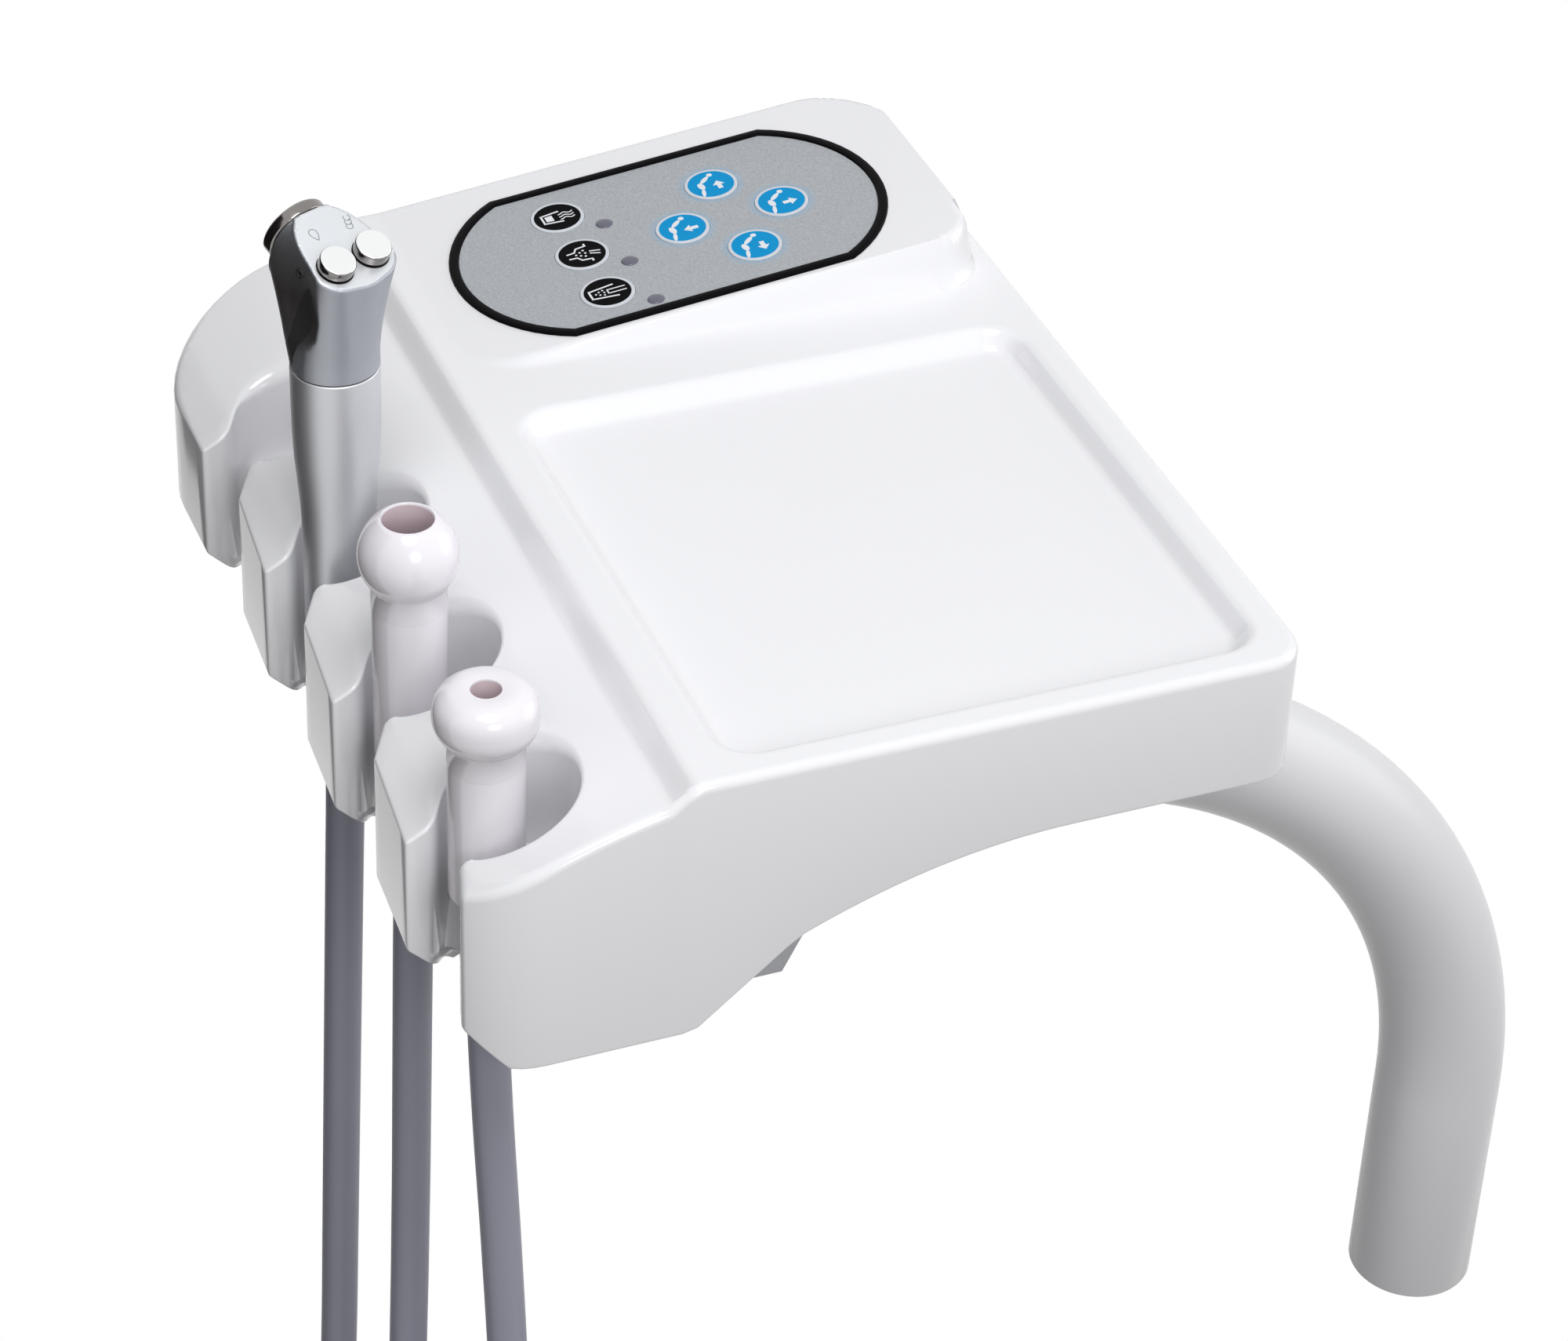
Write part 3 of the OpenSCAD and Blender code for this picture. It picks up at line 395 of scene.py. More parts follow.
def tint(name, mask, output, colour):
    """Mixes a second colour into a finish, as strongly as a mask says."""
    tree = finishes[name].node_tree
    shader = tree.nodes["Principled BSDF"]
    mix = node(tree, "Mix", data_type="RGBA")
    mix.inputs[SECOND].default_value = srgb(colour)
    tree.links.new(shader.inputs["Base Color"].links[0].from_socket, mix.inputs[FIRST])
    wire(tree, (mask, output, mix, SHARE), (mix, MIXED, shader, "Base Color"))


# %% All the finishes, named as the part's material slots are
finish("white_plastic", "f2f2f4", "eeeef1", (0.09, 0.15), coat=0.1, speck=0.012, patch=9, bump=0.015)
finish("cover_plastic", "e2e2e5", "dcdce0", (0.35, 0.5), speck=0.01, patch=12, bump=0.05)
finish("socket_casting", "b0b1b4", "a4a5aa", (0.4, 0.6), metallic=0.6, grain_size=500, bump=0.12)
finish("tube_paint", "e4e4e6", "dfdfe2", (0.2, 0.28), patch=12, grain_size=300, bump=0.02, gloss=0.15)
finish("steel", "b0b1b4", "a0a1a5", (0.25, 0.4), metallic=1.0, stretch=(1, 1, 8))
finish("border_black", "09080a", "0e0d0f", (0.3, 0.4), bump=0.01, gloss=0.03)
finish("key_plate", "c4c8cc", "8c9095", (0.4, 0.6), metallic=0.25, patch=1500, grain_size=1500, bump=0.1)
finish("key_black", "070608", "0c0b0d", (0.4, 0.5), gloss=0.02)
finish("key_blue", "0e9ad6", "0c92cf", (0.4, 0.5), gloss=0.06)
finish("lens", "70707e", "5c5c6c", (0.15, 0.25), coat=0.2, gloss=0.3)
finish("board", "225c3e", "1a4e34", (0.3, 0.45))
finish("ribbon", "c6c7ca", "babbc0", (0.4, 0.5))
finish("head_metal", "b0b3b9", "a6a9b0", (0.44, 0.54), metallic=0.85, grain_size=1300, bump=0.05)
finish("sleeve_metal", "d6d7da", "cacbcf", (0.42, 0.52), metallic=0.9, grain_size=1100, stretch=(1, 1, 5),
       bump=0.04)
finish("chrome", "e2e1e1", "d6d5d6", (0.08, 0.16), metallic=1.0)
# The next two are chrome with painted reflections: a brighter copy for the button tops, and a darker copy for the
# collar and the sides of the buttons.
finish("chrome_painted_bright", "f8f9f9", "f2f3f4", (0.1, 0.18), metallic=1.0)
finish("chrome_painted_dark", "969290", "807c7a", (0.08, 0.14), metallic=1.0)
finish("brass", "c4a45c", "b69650", (0.25, 0.4), metallic=1.0)
finish("rubber", "242426", "1c1c1e", (0.55, 0.7), bump=0.1)
finish("hose", "9e9fad", "9697a5", (0.42, 0.55), grain_size=700, bump=0.05, patch=18)
finish("strap", "1e1e21", "18181b", (0.5, 0.65), grain_size=1500, bump=0.15)
finish("suction_plastic", "f3f0f5", "efebf1", (0.12, 0.18), coat=0.15, patch=20, bump=0.012)
for name, solid in frame["nodes"].items():
    slot = next(s["material_slot"] for s in frame["record"]["subparts"] if s["node"] == name)
    solid.data.materials.clear()
    solid.data.materials.append(finishes[slot])
print("finishes:", len(finishes))

# %% [markdown]
# ## Hoses
# Three smooth grey hoses hang from the handpieces and leave the picture at its lower edge. Each is one fixed length
# of tube, so it is one curve with a round bevel: first the hanging run, then the unseen length in a neat coil of
# three and a half turns, two layers deep, with the end fitting on its tail.

# %% The routes, as steps forward and drops from the hose nut
HANGING = {
    "syringe": ((0, 0, -0.4, -1.2, -2, -2.8, -3.6, -4.4, -5.2, -6, -6.8, -7.8, -8.8, -9.5, -9.8, -9.8),
                (0, 21, 46, 71, 96, 121, 146, 171, 196, 221, 246, 271, 296, 319, 338, 356)),
    "suction": ((0, 0, -0.2, -0.6, -1, -1.4, -1.8, -2.2, -2.7, -3.2, -3.8, -4.4, -5.1, -5.6, -5.8, -5.8),
                (0, 19, 37, 55, 75, 95, 115, 135, 155, 175, 195, 215, 237, 259, 281, 301)),
    "ejector": ((0, 0, 0.1, 0.5, 1.1, 1.8, 2.6, 3.4, 4.1, 4.8, 5.4, 5.8, 6.1, 6.2, 6.2, 6.2),
                (0, 13, 27, 41, 57, 73, 89, 105, 121, 137, 153, 171, 189, 207, 227, 247))}
NUT_LOW = -59
COIL_R, COIL_STEP, COIL_TURNS, COIL_DROP, COIL_POINTS = 66, 11.6, 3.5, 11, 24


def hose_points(name):
    x = SLOT_X[name]
    run = [(SEAT_Y + y, NUT_LOW - drop) for y, drop in zip(*HANGING[name])]
    points = [spot(x, y, z) for y, z in run]
    mid_y, mid_z = run[-1][0] + COIL_R, run[-1][1] - COIL_DROP
    for k in range(int(COIL_POINTS * COIL_TURNS) + 1):
        t = k / COIL_POINTS
        radius = COIL_R - COIL_STEP * min(t, COIL_TURNS - t)
        aside = COIL_STEP * min(max((t - 1.5) / 0.5, 0), 1)
        angle = pi + tau * t
        points.append(spot(x + aside, mid_y + radius * cos(angle), mid_z + radius * sin(angle)))
    for rise in (12, 24):
        points.append(spot(x + COIL_STEP, mid_y + COIL_R, mid_z + rise))
    return points


# %% The three hoses and what sits on them
HOSE_D = 11
for name, body, end_node, end_slot, far_end in (
        ("syringe", "syringe", "syringe_coupling", "brass", "connector"),
        ("suction", "suction_handpiece", "suction_cuff", "rubber", "fitting"),
        ("ejector", "ejector_handpiece", "ejector_cuff", "rubber", "fitting")):
    line = bpy.data.curves.new(name + "_hose_look", "CURVE")
    line.dimensions = "3D"
    line.bevel_depth = HOSE_D / 2 * MM
    line.bevel_resolution = 5
    line.resolution_u = 4
    line.use_fill_caps = True
    run = line.splines.new("BEZIER")
    points = hose_points(name)
    run.bezier_points.add(len(points) - 1)
    for bend, point in zip(run.bezier_points, points):
        bend.co = point
        bend.handle_left_type = bend.handle_right_type = "AUTO"
    hose = add(name + "_hose_look", line)
    bpy.context.view_layer.update()
    dress(hose, "hose", body, name + "_hose", name + "_hose_coil")
    tie = soften(name + "_hose_tie", 0.4, "strap", body)
    end = soften(end_node, 0.5, end_slot, body)

# %% [markdown]
# ## Console shell
# The shell is one glossy white moulding. Its plan is an outline with four keyhole slots, and its top is a height
# field: a flat tray with a shallow recess, a wedge under the keypad, a step at the ridge and a curved drop over the
# holders. The outline gets rounded rims ring by ring, the flat face inside is cut into a grid with bisect, and then
# each vertex is lifted to its height. That keeps the rims clean and the big faces smooth. The fingers between the
# slots are hollow, so a plate with the same plan closes them from below.

# %% The plan outline, with a rim rounding for each stretch
def arc(x, y, r, start, end, rim, step=7):
    count = max(2, int(abs(end - start) / step) + 1)
    return [(x + r * cos(a), y + r * sin(a), rim) for a in np.radians(np.linspace(start, end, count))]


def straight(x0, y0, x1, y1, rim, step=4):
    count = max(2, int(hypot(x1 - x0, y1 - y0) / step))
    return [(x0 + (x1 - x0) * t, y0 + (y1 - y0) * t, rim) for t in np.linspace(0, 1, count)[1:-1]]


def s_bend(start, first, second, end, rim, count=14):
    """A smooth curve that leaves one straight and swings into the next, pulled by two points between."""
    t = np.linspace(0, 1, count)[:, None]
    pulls = zip(((1 - t) ** 3, 3 * t * (1 - t) ** 2, 3 * t * t * (1 - t), t ** 3), (start, first, second, end))
    return [(x, y, rim) for x, y in sum(weight * np.array(point) for weight, point in pulls)]


POCKET_R, POCKET_Y = 18.7, -39


def slot_outline(x, last):
    edge = arc(x - 6, -63, 1, 270, 360, 0.7, 25) + straight(x - 5, -63, x - 5, -59.5, 0.8, 1.2)
    edge += s_bend((x - 5, -59.5), (x - 5, -54), (x - 13, -53.6), (x - 15.9, -48.9), 1.2)
    for px, py, _ in arc(x, POCKET_Y, POCKET_R, 208, -44.6, 1, 5):
        angle = atan2(py - POCKET_Y, px - x)
        soft = max(0, cos(angle - radians(165))) ** 2
        edge.append((px, py, 1.2 + 4.2 * soft))
    edge += arc(x + 15, -53.8, 2.6, 135.4, 239.5, 1.1, 15)
    if last:
        return edge + straight(x + 13.7, -56, -10.6, -58.1, 1.5) + arc(-9.95, -55.72, 2.5, 253.5, 312, 2.5, 12)
    return edge + straight(x + 13.7, -56, x + 22, -60.9, 0.8) + arc(x + 22.9, -60.4, 1, 239.5, 265, 0.6, 10)


RIM = 2.6
outline = straight(0, POCKET_Y, 0, 158, RIM) + arc(-12, 158, 12, 0, 90, RIM)
outline += straight(-12, TRAY_D, -257, TRAY_D, RIM, 8) + arc(-257, 140, 30, 90, 180, RIM)
outline += straight(-287, 140, -287, -24, RIM) + arc(-247, -24, 40, 180, 270, 2)
for name in ("spare", "syringe", "suction", "ejector"):
    start = outline[-1]
    outline += straight(start[0], start[1], SLOT_X[name] - 6, -64, 0.7)
    outline += slot_outline(SLOT_X[name], name == "ejector")
outline += arc(-25, POCKET_Y, 25, 316, 360, 3)
outline = np.array(outline)
print("outline points:", len(outline))

# %% The heights of the top and of the lower edge
STEP, TIP_DROP, HOLDER_D, RECESS_DEPTH, WEDGE_START = 5.5, 23.0, 64.0, 5.5, 7
RECESS = (-172, 10, -9, 161, 12)
PLATFORM = (-330, WEDGE_START, -194, 163, 17)
FAR_CORNER = (-290, -60, -120, 165, 34)


def ramp(value, low, high):
    t = np.clip((value - low) / (high - low), 0, 1)
    return t * t * (3 - 2 * t)


def inside(x, y, x0, y0, x1, y1, r):
    """How far a point lies inside a rounded rectangle."""
    dx = np.abs(x - (x0 + x1) / 2) - (x1 - x0) / 2 + r
    dy = np.abs(y - (y0 + y1) / 2) - (y1 - y0) / 2 + r
    return r - np.hypot(np.maximum(dx, 0), np.maximum(dy, 0)) - np.minimum(np.maximum(dx, dy), 0)


def holder_top(y):
    t = (-y - STEP) / (HOLDER_D - STEP)
    curve = -STEP - 11.7 * t - (TIP_DROP - 11.7) * t * t
    return np.where(y >= 0, 0, np.where(y >= -STEP, y, curve))


def softly(height, reach, count):
    """The mean of a height over a short stretch, which rounds its creases."""
    return np.mean([height(s) for s in np.linspace(-reach, reach, count)], axis=0)


def top_height(x, y):
    ridge = softly(lambda s: holder_top(y + s), 1.5, 13)
    recess = RECESS_DEPTH * softly(lambda s: np.clip((inside(x, y, *RECESS) + s) / 4.5, 0, 1), 1, 9)
    wedge = softly(lambda s: np.maximum(y + s - WEDGE_START, 0), 3, 13) * WEDGE_RISE / 153
    plateau = np.minimum(inside(x, y, *PLATFORM), inside(x, y, *FAR_CORNER))
    return ridge - recess + wedge * ramp(plateau, -1.5, 3)


def under_height(y):
    arch = -38.5 - 17.2 * ((105 - y) / 76) ** 2
    slope = -55.7 - (79.5 - 55.7) * (29 - y) / 28.1
    flat = np.where(y >= 0.9, slope, np.maximum(-79.5, -63.4 - (y + HOLDER_D)))
    return np.where(y >= 105, -38.5, np.where(y >= 29, arch, flat))


# %% Rims and walls, ring by ring
ahead, behind = np.roll(outline[:, :2], -1, axis=0), np.roll(outline[:, :2], 1, axis=0)
along = (ahead - behind) / np.linalg.norm(ahead - behind, axis=1)[:, None]
inwards = np.stack([-along[:, 1], along[:, 0]], axis=1)
rim = outline[:, 2].copy()
for _ in range(3):
    rim = (np.roll(rim, 1) + 2 * rim + np.roll(rim, -1)) / 4
rings = []
for offset, lift in ((0.2, 0), (0.05, 0.25), (0, 0.7)):
    plan = outline[:, :2] + inwards * offset
    rings.append(np.column_stack([plan, under_height(plan[:, 1]) + lift]))
for angle in np.radians([0, 18, 36, 54, 72, 90]):
    plan = outline[:, :2] + inwards * (rim * (1 - cos(angle)))[:, None]
    rings.append(np.column_stack([plan, top_height(*plan.T) - rim * (1 - sin(angle))]))
count = len(outline)
shell = loft("console_shell_look", rings, close_last=True)
skin = shell.data
print("rings:", len(rings), "of", count, "points")

# %% Cutting the top into a grid
def steps(*stretches):
    return np.concatenate([np.arange(a, b, s) for a, b, s in stretches])


Y_CUTS = steps((-62, -8, 2.5), (-7.5, 3, 0.7), (3, 24, 1), (24, 120, 8), (121, 147, 2), (147, 169, 1))
X_CUTS = steps((-285, -246, 1.2), (-246, -206, 8), (-205, -185, 1), (-184, -176, 3), (-175, -157, 1),
               (-156, -24, 9), (-23, -2, 1))
take(shell)
mode("EDIT")
bpy.ops.mesh.select_mode(type="FACE")
bpy.ops.mesh.select_all(action="DESELECT")
mode("OBJECT")
for polygon in skin.polygons[:-1]:
    polygon.select = True
mode("EDIT")
bpy.ops.mesh.hide(unselected=False)
for cuts, axis in ((Y_CUTS, 1), (X_CUTS, 0)):
    for cut in cuts:
        point, normal = [0, 0, 0], [0, 0, 0]
        point[axis], normal[axis] = cut * MM, 1
        bpy.ops.mesh.select_all(action="SELECT")
        bpy.ops.mesh.bisect(plane_co=point, plane_no=normal, threshold=0.0005 * MM)
bpy.ops.mesh.reveal(select=False)
mode("OBJECT")
print("faces after the cuts:", len(skin.polygons))

# %% Lifting the top, opening the keypad's hole and giving the wall its thickness
PAD_AT, PAD_TILT, PAD_MID, PAD_SINK, WALL = (-236.6, 7, 0), radians(6.340), 74, 1.2, 2.4
pad_frame = Matrix.Translation(spot(*PAD_AT)) @ Matrix.Rotation(PAD_TILT, 4, "X") @ shift(0, PAD_MID, -PAD_SINK)
first_free = len(rings) * count
points = np.array([v.co for v in skin.vertices]) / MM
points[first_free:, 2] = top_height(points[first_free:, 0], points[first_free:, 1])
skin.vertices.foreach_set("co", (points * MM).ravel())
take(shell)
for polygon in skin.polygons:
    corners = points[list(polygon.vertices)]
    in_pad = (np.abs(corners[:, 0] - PAD_AT[0]) < 34) & (np.abs(corners[:, 1] - 81) < 46) & (corners[:, 2] > -2)
    polygon.select = bool(in_pad.all())
mode("EDIT")
bpy.ops.mesh.delete(type="FACE")
mode("OBJECT")
apply_modifier(shell, "SOLIDIFY", thickness=WALL * MM, offset=-1)
print("shell:", len(skin.polygons), "faces")

# %% Closing the fingers from below, as far back as the bottom cover
COVER_FRONT, UNDER_CREASE, PLATE_INSET, PLATE_LIFT = -16, -47.9, 0.3, 0.1
floor_plan = outline[::-1, :2] + inwards[::-1] * PLATE_INSET
underside = mesh_piece("finger_underside", np.column_stack([floor_plan, np.zeros(count)]), [list(range(count))])
take(underside)
mode("EDIT")
for cut in (COVER_FRONT, UNDER_CREASE):
    bpy.ops.mesh.select_all(action="SELECT")
    bpy.ops.mesh.quads_convert_to_tris(quad_method="BEAUTY", ngon_method="CLIP")
    bpy.ops.mesh.bisect(plane_co=(0, cut * MM, 0), plane_no=(0, 1, 0), clear_outer=cut == COVER_FRONT)
mode("OBJECT")
for vertex in underside.data.vertices:
    vertex.co.z = (under_height(vertex.co.y / MM) + PLATE_LIFT) * MM
apply_modifier(underside, "SOLIDIFY", thickness=WALL * MM, offset=-1)
join(shell, underside)
place(shell, Matrix.Translation(CORNER))
shade(shell, 50)
dress(shell, "white_plastic", "console", "console_shell")

# %% [markdown]
# ## Slot seats
# Each slot has a floor with a raised ring that the instrument's foot stands in, and a keyhole for its hose. One seat
# is modelled from a disc and a ring, the keyhole is cut with a boolean, and the other three are copies.

# %% One seat, copied to the four slots
FLOOR_LOW, FLOOR_TOP, RING_TOP = -50, -45, -42
seat = turn("slot_seat", [(0, FLOOR_LOW), (18.6, FLOOR_LOW), (18.6, FLOOR_TOP), (0, FLOOR_TOP)])
place(seat, shift(0, POCKET_Y - SEAT_Y))
ring = turn("seat_ring", rounded([(10.3, -45.2), (13.3, -45.2), (13.3, RING_TOP, 0.8), (10.3, RING_TOP, 0.8)]),
            closed=True)
for piece in (seat, ring):
    saw(piece, 0, -23, RING_TOP, (60, 42, 30))
    saw(piece, 3.5, -20, RING_TOP, (15, 40, 30))
drill(seat, 0, 0, RING_TOP, 7.5, 30, sides=48)
join(seat, ring)
shade(seat)
for name in SLOT_X:
    copy = add(name + "_slot_seat", seat.data.copy())
    place(copy, slot_frame[name])
    dress(copy, "white_plastic", "console")
bpy.data.objects.remove(seat)

# %% [markdown]
# ## Underside and arm
# The bottom cover, the cast socket and their screws are seen from below. Their solids already have the right shape,
# so softened copies are enough. The arm is one bent tube: a circle is extruded up, spun through a quarter turn and
# extruded on into the socket, and Solidify gives it its wall.

# %% Softened pieces
for node_name, slot, width in (("bottom_cover", "cover_plastic", 0.8), ("arm_socket", "socket_casting", 1.2),
                               ("cover_screws", "steel", 0.2), ("socket_screws", "steel", 0.3)):
    soften(node_name, width, slot, "console")

# %% The arm tube
ARM_R, ARM_WALL, ARM_LEG, ARM_BEND, ARM_REACH = 19, 2, 76, 170, 275
deselect()
bpy.ops.mesh.primitive_circle_add(vertices=72, radius=ARM_R * MM, location=(0, 0, 0))
arm = bpy.context.object
arm.name = arm.data.name = "arm_tube_look"
mode("EDIT")
bpy.ops.mesh.select_mode(type="VERT")
bpy.ops.mesh.select_all(action="SELECT")
bpy.ops.mesh.extrude_edges_move(TRANSFORM_OT_translate={"value": (0, 0, ARM_LEG * MM)})
bpy.ops.mesh.spin(steps=40, angle=pi / 2, center=(0, -ARM_BEND * MM, ARM_LEG * MM), axis=(-1, 0, 0))
bpy.ops.mesh.extrude_edges_move(TRANSFORM_OT_translate={"value": (0, (ARM_BEND - ARM_REACH) * MM, 0)})
clean(arm)
apply_modifier(arm, "SOLIDIFY", thickness=ARM_WALL * MM, offset=-1)
apply_modifier(arm, "BEVEL", width=0.4 * MM, segments=2, limit_method="ANGLE", angle_limit=radians(60))
shade(arm, 40)
dress(arm, "tube_paint", "console", "arm_tube")
print("arm box:", [round(v, 3) for v in arm.dimensions])

# %% [markdown]
# ## Keypad
# The keypad lies on the wedge: a raised glossy black border, a silver plate with a fine sparkle, three black and four
# blue round keys with pale rings, and three small lenses. The outline is two wide arcs between straight sides. Each
# piece is made flat at the origin and then placed on the slope, so that its sizes stay easy to read.

# %% The outline, at any inset
PAD_W, PAD_L, PAD_END_R = 76, 130, 43


def pad_ring(inset, height, arc_points=24, side_points=6):
    half, radius, mid = PAD_W / 2 - inset, PAD_END_R - inset, PAD_L / 2 - PAD_END_R
    corner = acos(half / radius)
    ring = [(radius * cos(a), mid + radius * sin(a)) for a in np.linspace(corner, pi - corner, arc_points)]
    side = mid + radius * sin(corner)
    ring += [(-half, y) for y in np.linspace(side, -side, side_points)[1:-1]]
    ring += [(-x, -y) for x, y in ring]
    return [(x, y, height) for x, y in ring]


# %% Border and plate
BORDER_W, BORDER_H, PLATE_T = 2.9, 2.2, 1.6
border = loft("keypad_bezel_look", [pad_ring(i, h) for i, h in (
    (0, 0), (0, BORDER_H - 0.7), (0.2, BORDER_H - 0.2), (0.7, BORDER_H), (BORDER_W - 0.5, BORDER_H),
    (BORDER_W - 0.15, BORDER_H - 0.15), (BORDER_W, BORDER_H - 0.5), (BORDER_W, 0))], loop=True)
plate = loft("keypad_plate_look", [pad_ring(i, h) for i, h in (
    (BORDER_W + 0.05, 0), (BORDER_W + 0.05, PLATE_T - 0.15), (BORDER_W + 0.2, PLATE_T))],
    close_first=True, close_last=True)
KEYS = {"heater": (-21, -26.9), "bowl": (0.5, -26.9), "cup": (22, -26.9), "chair_up": (-16.6, 19.3),
        "chair_down": (19, 19.3), "back_up": (1.2, 34.5), "back_down": (1.2, 3.7)}
LENSES = ((-11.8, -15.7), (9.8, -15.7), (31.4, -15.7))
KEY_HOLE_R, LENS_HOLE_R = 7.95, 2.5
clean(border)
clean(plate)
for radius, places in ((KEY_HOLE_R, KEYS.values()), (LENS_HOLE_R, LENSES)):
    for x, y in places:
        drill(plate, x, y, 0, radius, 10)
for piece, slot, node_name in ((border, "border_black", "keypad_bezel"), (plate, "key_plate", "keypad_plate")):
    shade(piece, 40)
    place(piece, pad_frame)
    dress(piece, slot, "console", node_name)

# %% [markdown]
# ## Glow of the lit keys
# The four blue keys are lit from below, and a little of their blue spills onto the silver plate. A ring-shaped mask
# round each key mixes that blue into the plate's finish, which costs no lamp and stays with the plate.

# %% A faint blue glow on the plate, next to the lit keys
glow, glow_in, glow_out = new_group(
    "near_mask", [("Middle", "Vector", (0, 0, 0)), ("Inner", "Float", 0.008), ("Outer", "Float", 0.0105)],
    [("Mask", "Float")])
where = node(glow, "TexCoord")
away = node(glow, "VectorMath", operation="DISTANCE")
fade = node(glow, "MapRange")
fill(fade, {"To Min": 1, "To Max": 0})
wire(glow, (where, "Object", away, 0), (glow_in, "Middle", away, 1), (away, "Value", fade, "Value"),
     (glow_in, "Inner", fade, "From Min"), (glow_in, "Outer", fade, "From Max"), (fade, "Result", glow_out, "Mask"))
LIT_KEYS, GLOW_SHARE = ("chair_up", "chair_down", "back_up", "back_down"), 0.32
tree = finishes["key_plate"].node_tree
total = None
for name in LIT_KEYS:
    x, y = KEYS[name]
    mask = node(tree, "Group", node_tree=glow, Middle=pad_frame @ Vector((x * MM, y * MM, PLATE_T * MM)))
    larger = node(tree, "Math", operation="MAXIMUM")
    larger.inputs[1].default_value = 0
    wire(tree, (mask, "Mask", larger, 0), *([(total, 0, larger, 1)] if total else []))
    total = larger
weak = node(tree, "Math", operation="MULTIPLY")
weak.inputs[1].default_value = GLOW_SHARE
wire(tree, (total, 0, weak, 0))
tint("key_plate", weak, 0, "70b2de")
print("glow masks:", len(LIT_KEYS))

# %% [markdown]
# ## Keys and lenses
# A key is a low round cap with a pale printed ring, on a short stem. It is turned once and copied. The ring and the
# middle are two material slots on the same cap, chosen by how far a face lies from the middle, which keeps the
# edge between the two colours sharp at any distance. The white signs are screen prints. Here they are thin plates
# cut from strokes, dots and arrows, so that they stay crisp from close by.

# %% Strokes, dots and arrows of the signs
def ribbon(points, width):
    """The outline of a stroke of even width along a line of points."""
    line = np.array(points, float)
    along = np.gradient(line, axis=0)
    along /= np.linalg.norm(along, axis=1)[:, None]
    side = np.stack([-along[:, 1], along[:, 0]], axis=1) * width / 2
    return np.vstack([line + side, (line - side)[::-1]]).tolist()


def turned(shape, x, y, angle):
    c, s = cos(radians(angle)), sin(radians(angle))
    return [(x + c * u - s * v, y + s * u + c * v) for u, v in shape]


def dot(x, y, wide, high=None, angle=0):
    angles = np.linspace(0, tau, 20, endpoint=False)
    return turned([(wide * cos(a), (high or wide) * sin(a)) for a in angles], x, y, angle)


def dots(size, *places):
    return [dot(x, y, size) for x, y in places]


def arrow(x, y, angle):
    shape = [(-1.7, 0.6), (-1.7, -0.6), (0.1, -0.6), (0.1, -1.5), (1.9, 0), (0.1, 1.5), (0.1, 0.6)]
    return turned(shape, x, y, angle)


def wave(x):
    return ribbon([(x + 0.3 * sin(2.4 * y), y) for y in np.linspace(0.4, 4.2, 14)], 0.34)


def mirrored(points, width):
    return [ribbon([(side * x, y) for x, y in points], width) for side in (-1, 1)]


def cup(top, foot, high, low):
    return mirrored([(top, high), (foot, low)], 0.5) + [ribbon([(-foot - 0.25, low), (foot + 0.25, low)], 0.5)]


reclined = [dot(-3.9, 1.0, 0.72), dot(-2.3, -0.9, 1.75, 0.62, -48), dot(0.1, -2.5, 1.5, 0.8, 8),
            dot(3.0, -2.9, 1.7, 0.5, -14)]
SIGNS = {
    "heater": cup(2.3, 1.7, 1.0, -3.7) + [[(-1.05, -3), (1.05, -3), (1.25, -1.1), (-1.25, -1.1)]]
    + [wave(x) for x in (-1.1, 0, 1.1)],
    "bowl": mirrored([(3.9, 1.6), (2.7, 1.6)], 0.5)
    + mirrored([(2.9, 1.6), (2.6, -0.8), (1.2, -1.6), (1.0, -3.6)], 0.5)
    + [ribbon([(0.5, 1.8), (1.5, 4.2)], 0.4), ribbon([(-0.4, 1.9), (0.3, 4.5)], 0.4)]
    + dots(0.3, (-1.3, 0.6), (0, 0.8), (1.3, 0.5), (-0.7, -0.4), (0.7, -0.5), (0, -1.5)),
    "cup": cup(2.5, 1.6, 2.2, -4.2) + mirrored([(0.75, 0.1), (0.75, 4.6)], 0.36)
    + [ribbon([(-0.9, 0.1), (0.9, 0.1)], 0.36)]
    + dots(0.27, (-1, -1), (0, -0.8), (1, -1), (-0.6, -2), (0.6, -2), (0, -2.9)),
    "chair_up": reclined + [arrow(1.1, 1.7, 180)], "chair_down": reclined + [arrow(1.1, 1.7, 0)],
    "back_up": reclined + [arrow(1.1, 1.7, 90)], "back_down": reclined + [arrow(1.1, 1.9, 270)]}
print("signs:", len(SIGNS))

# %% Key caps
PRINT_T, SIGN_SCALE = 0.08, 1.2


def sign_plate(name, outlines, size, height, finish_name):
    points, faces = [], []
    for line in outlines:
        faces.append(list(range(len(points), len(points) + len(line))))
        points += [(size * x, size * y, height) for x, y in line]
    sign = mesh_piece(name + "_sign", points, faces)
    paint(sign, finish_name)
    apply_modifier(sign, "SOLIDIFY", thickness=PRINT_T * MM, offset=0)
    return sign


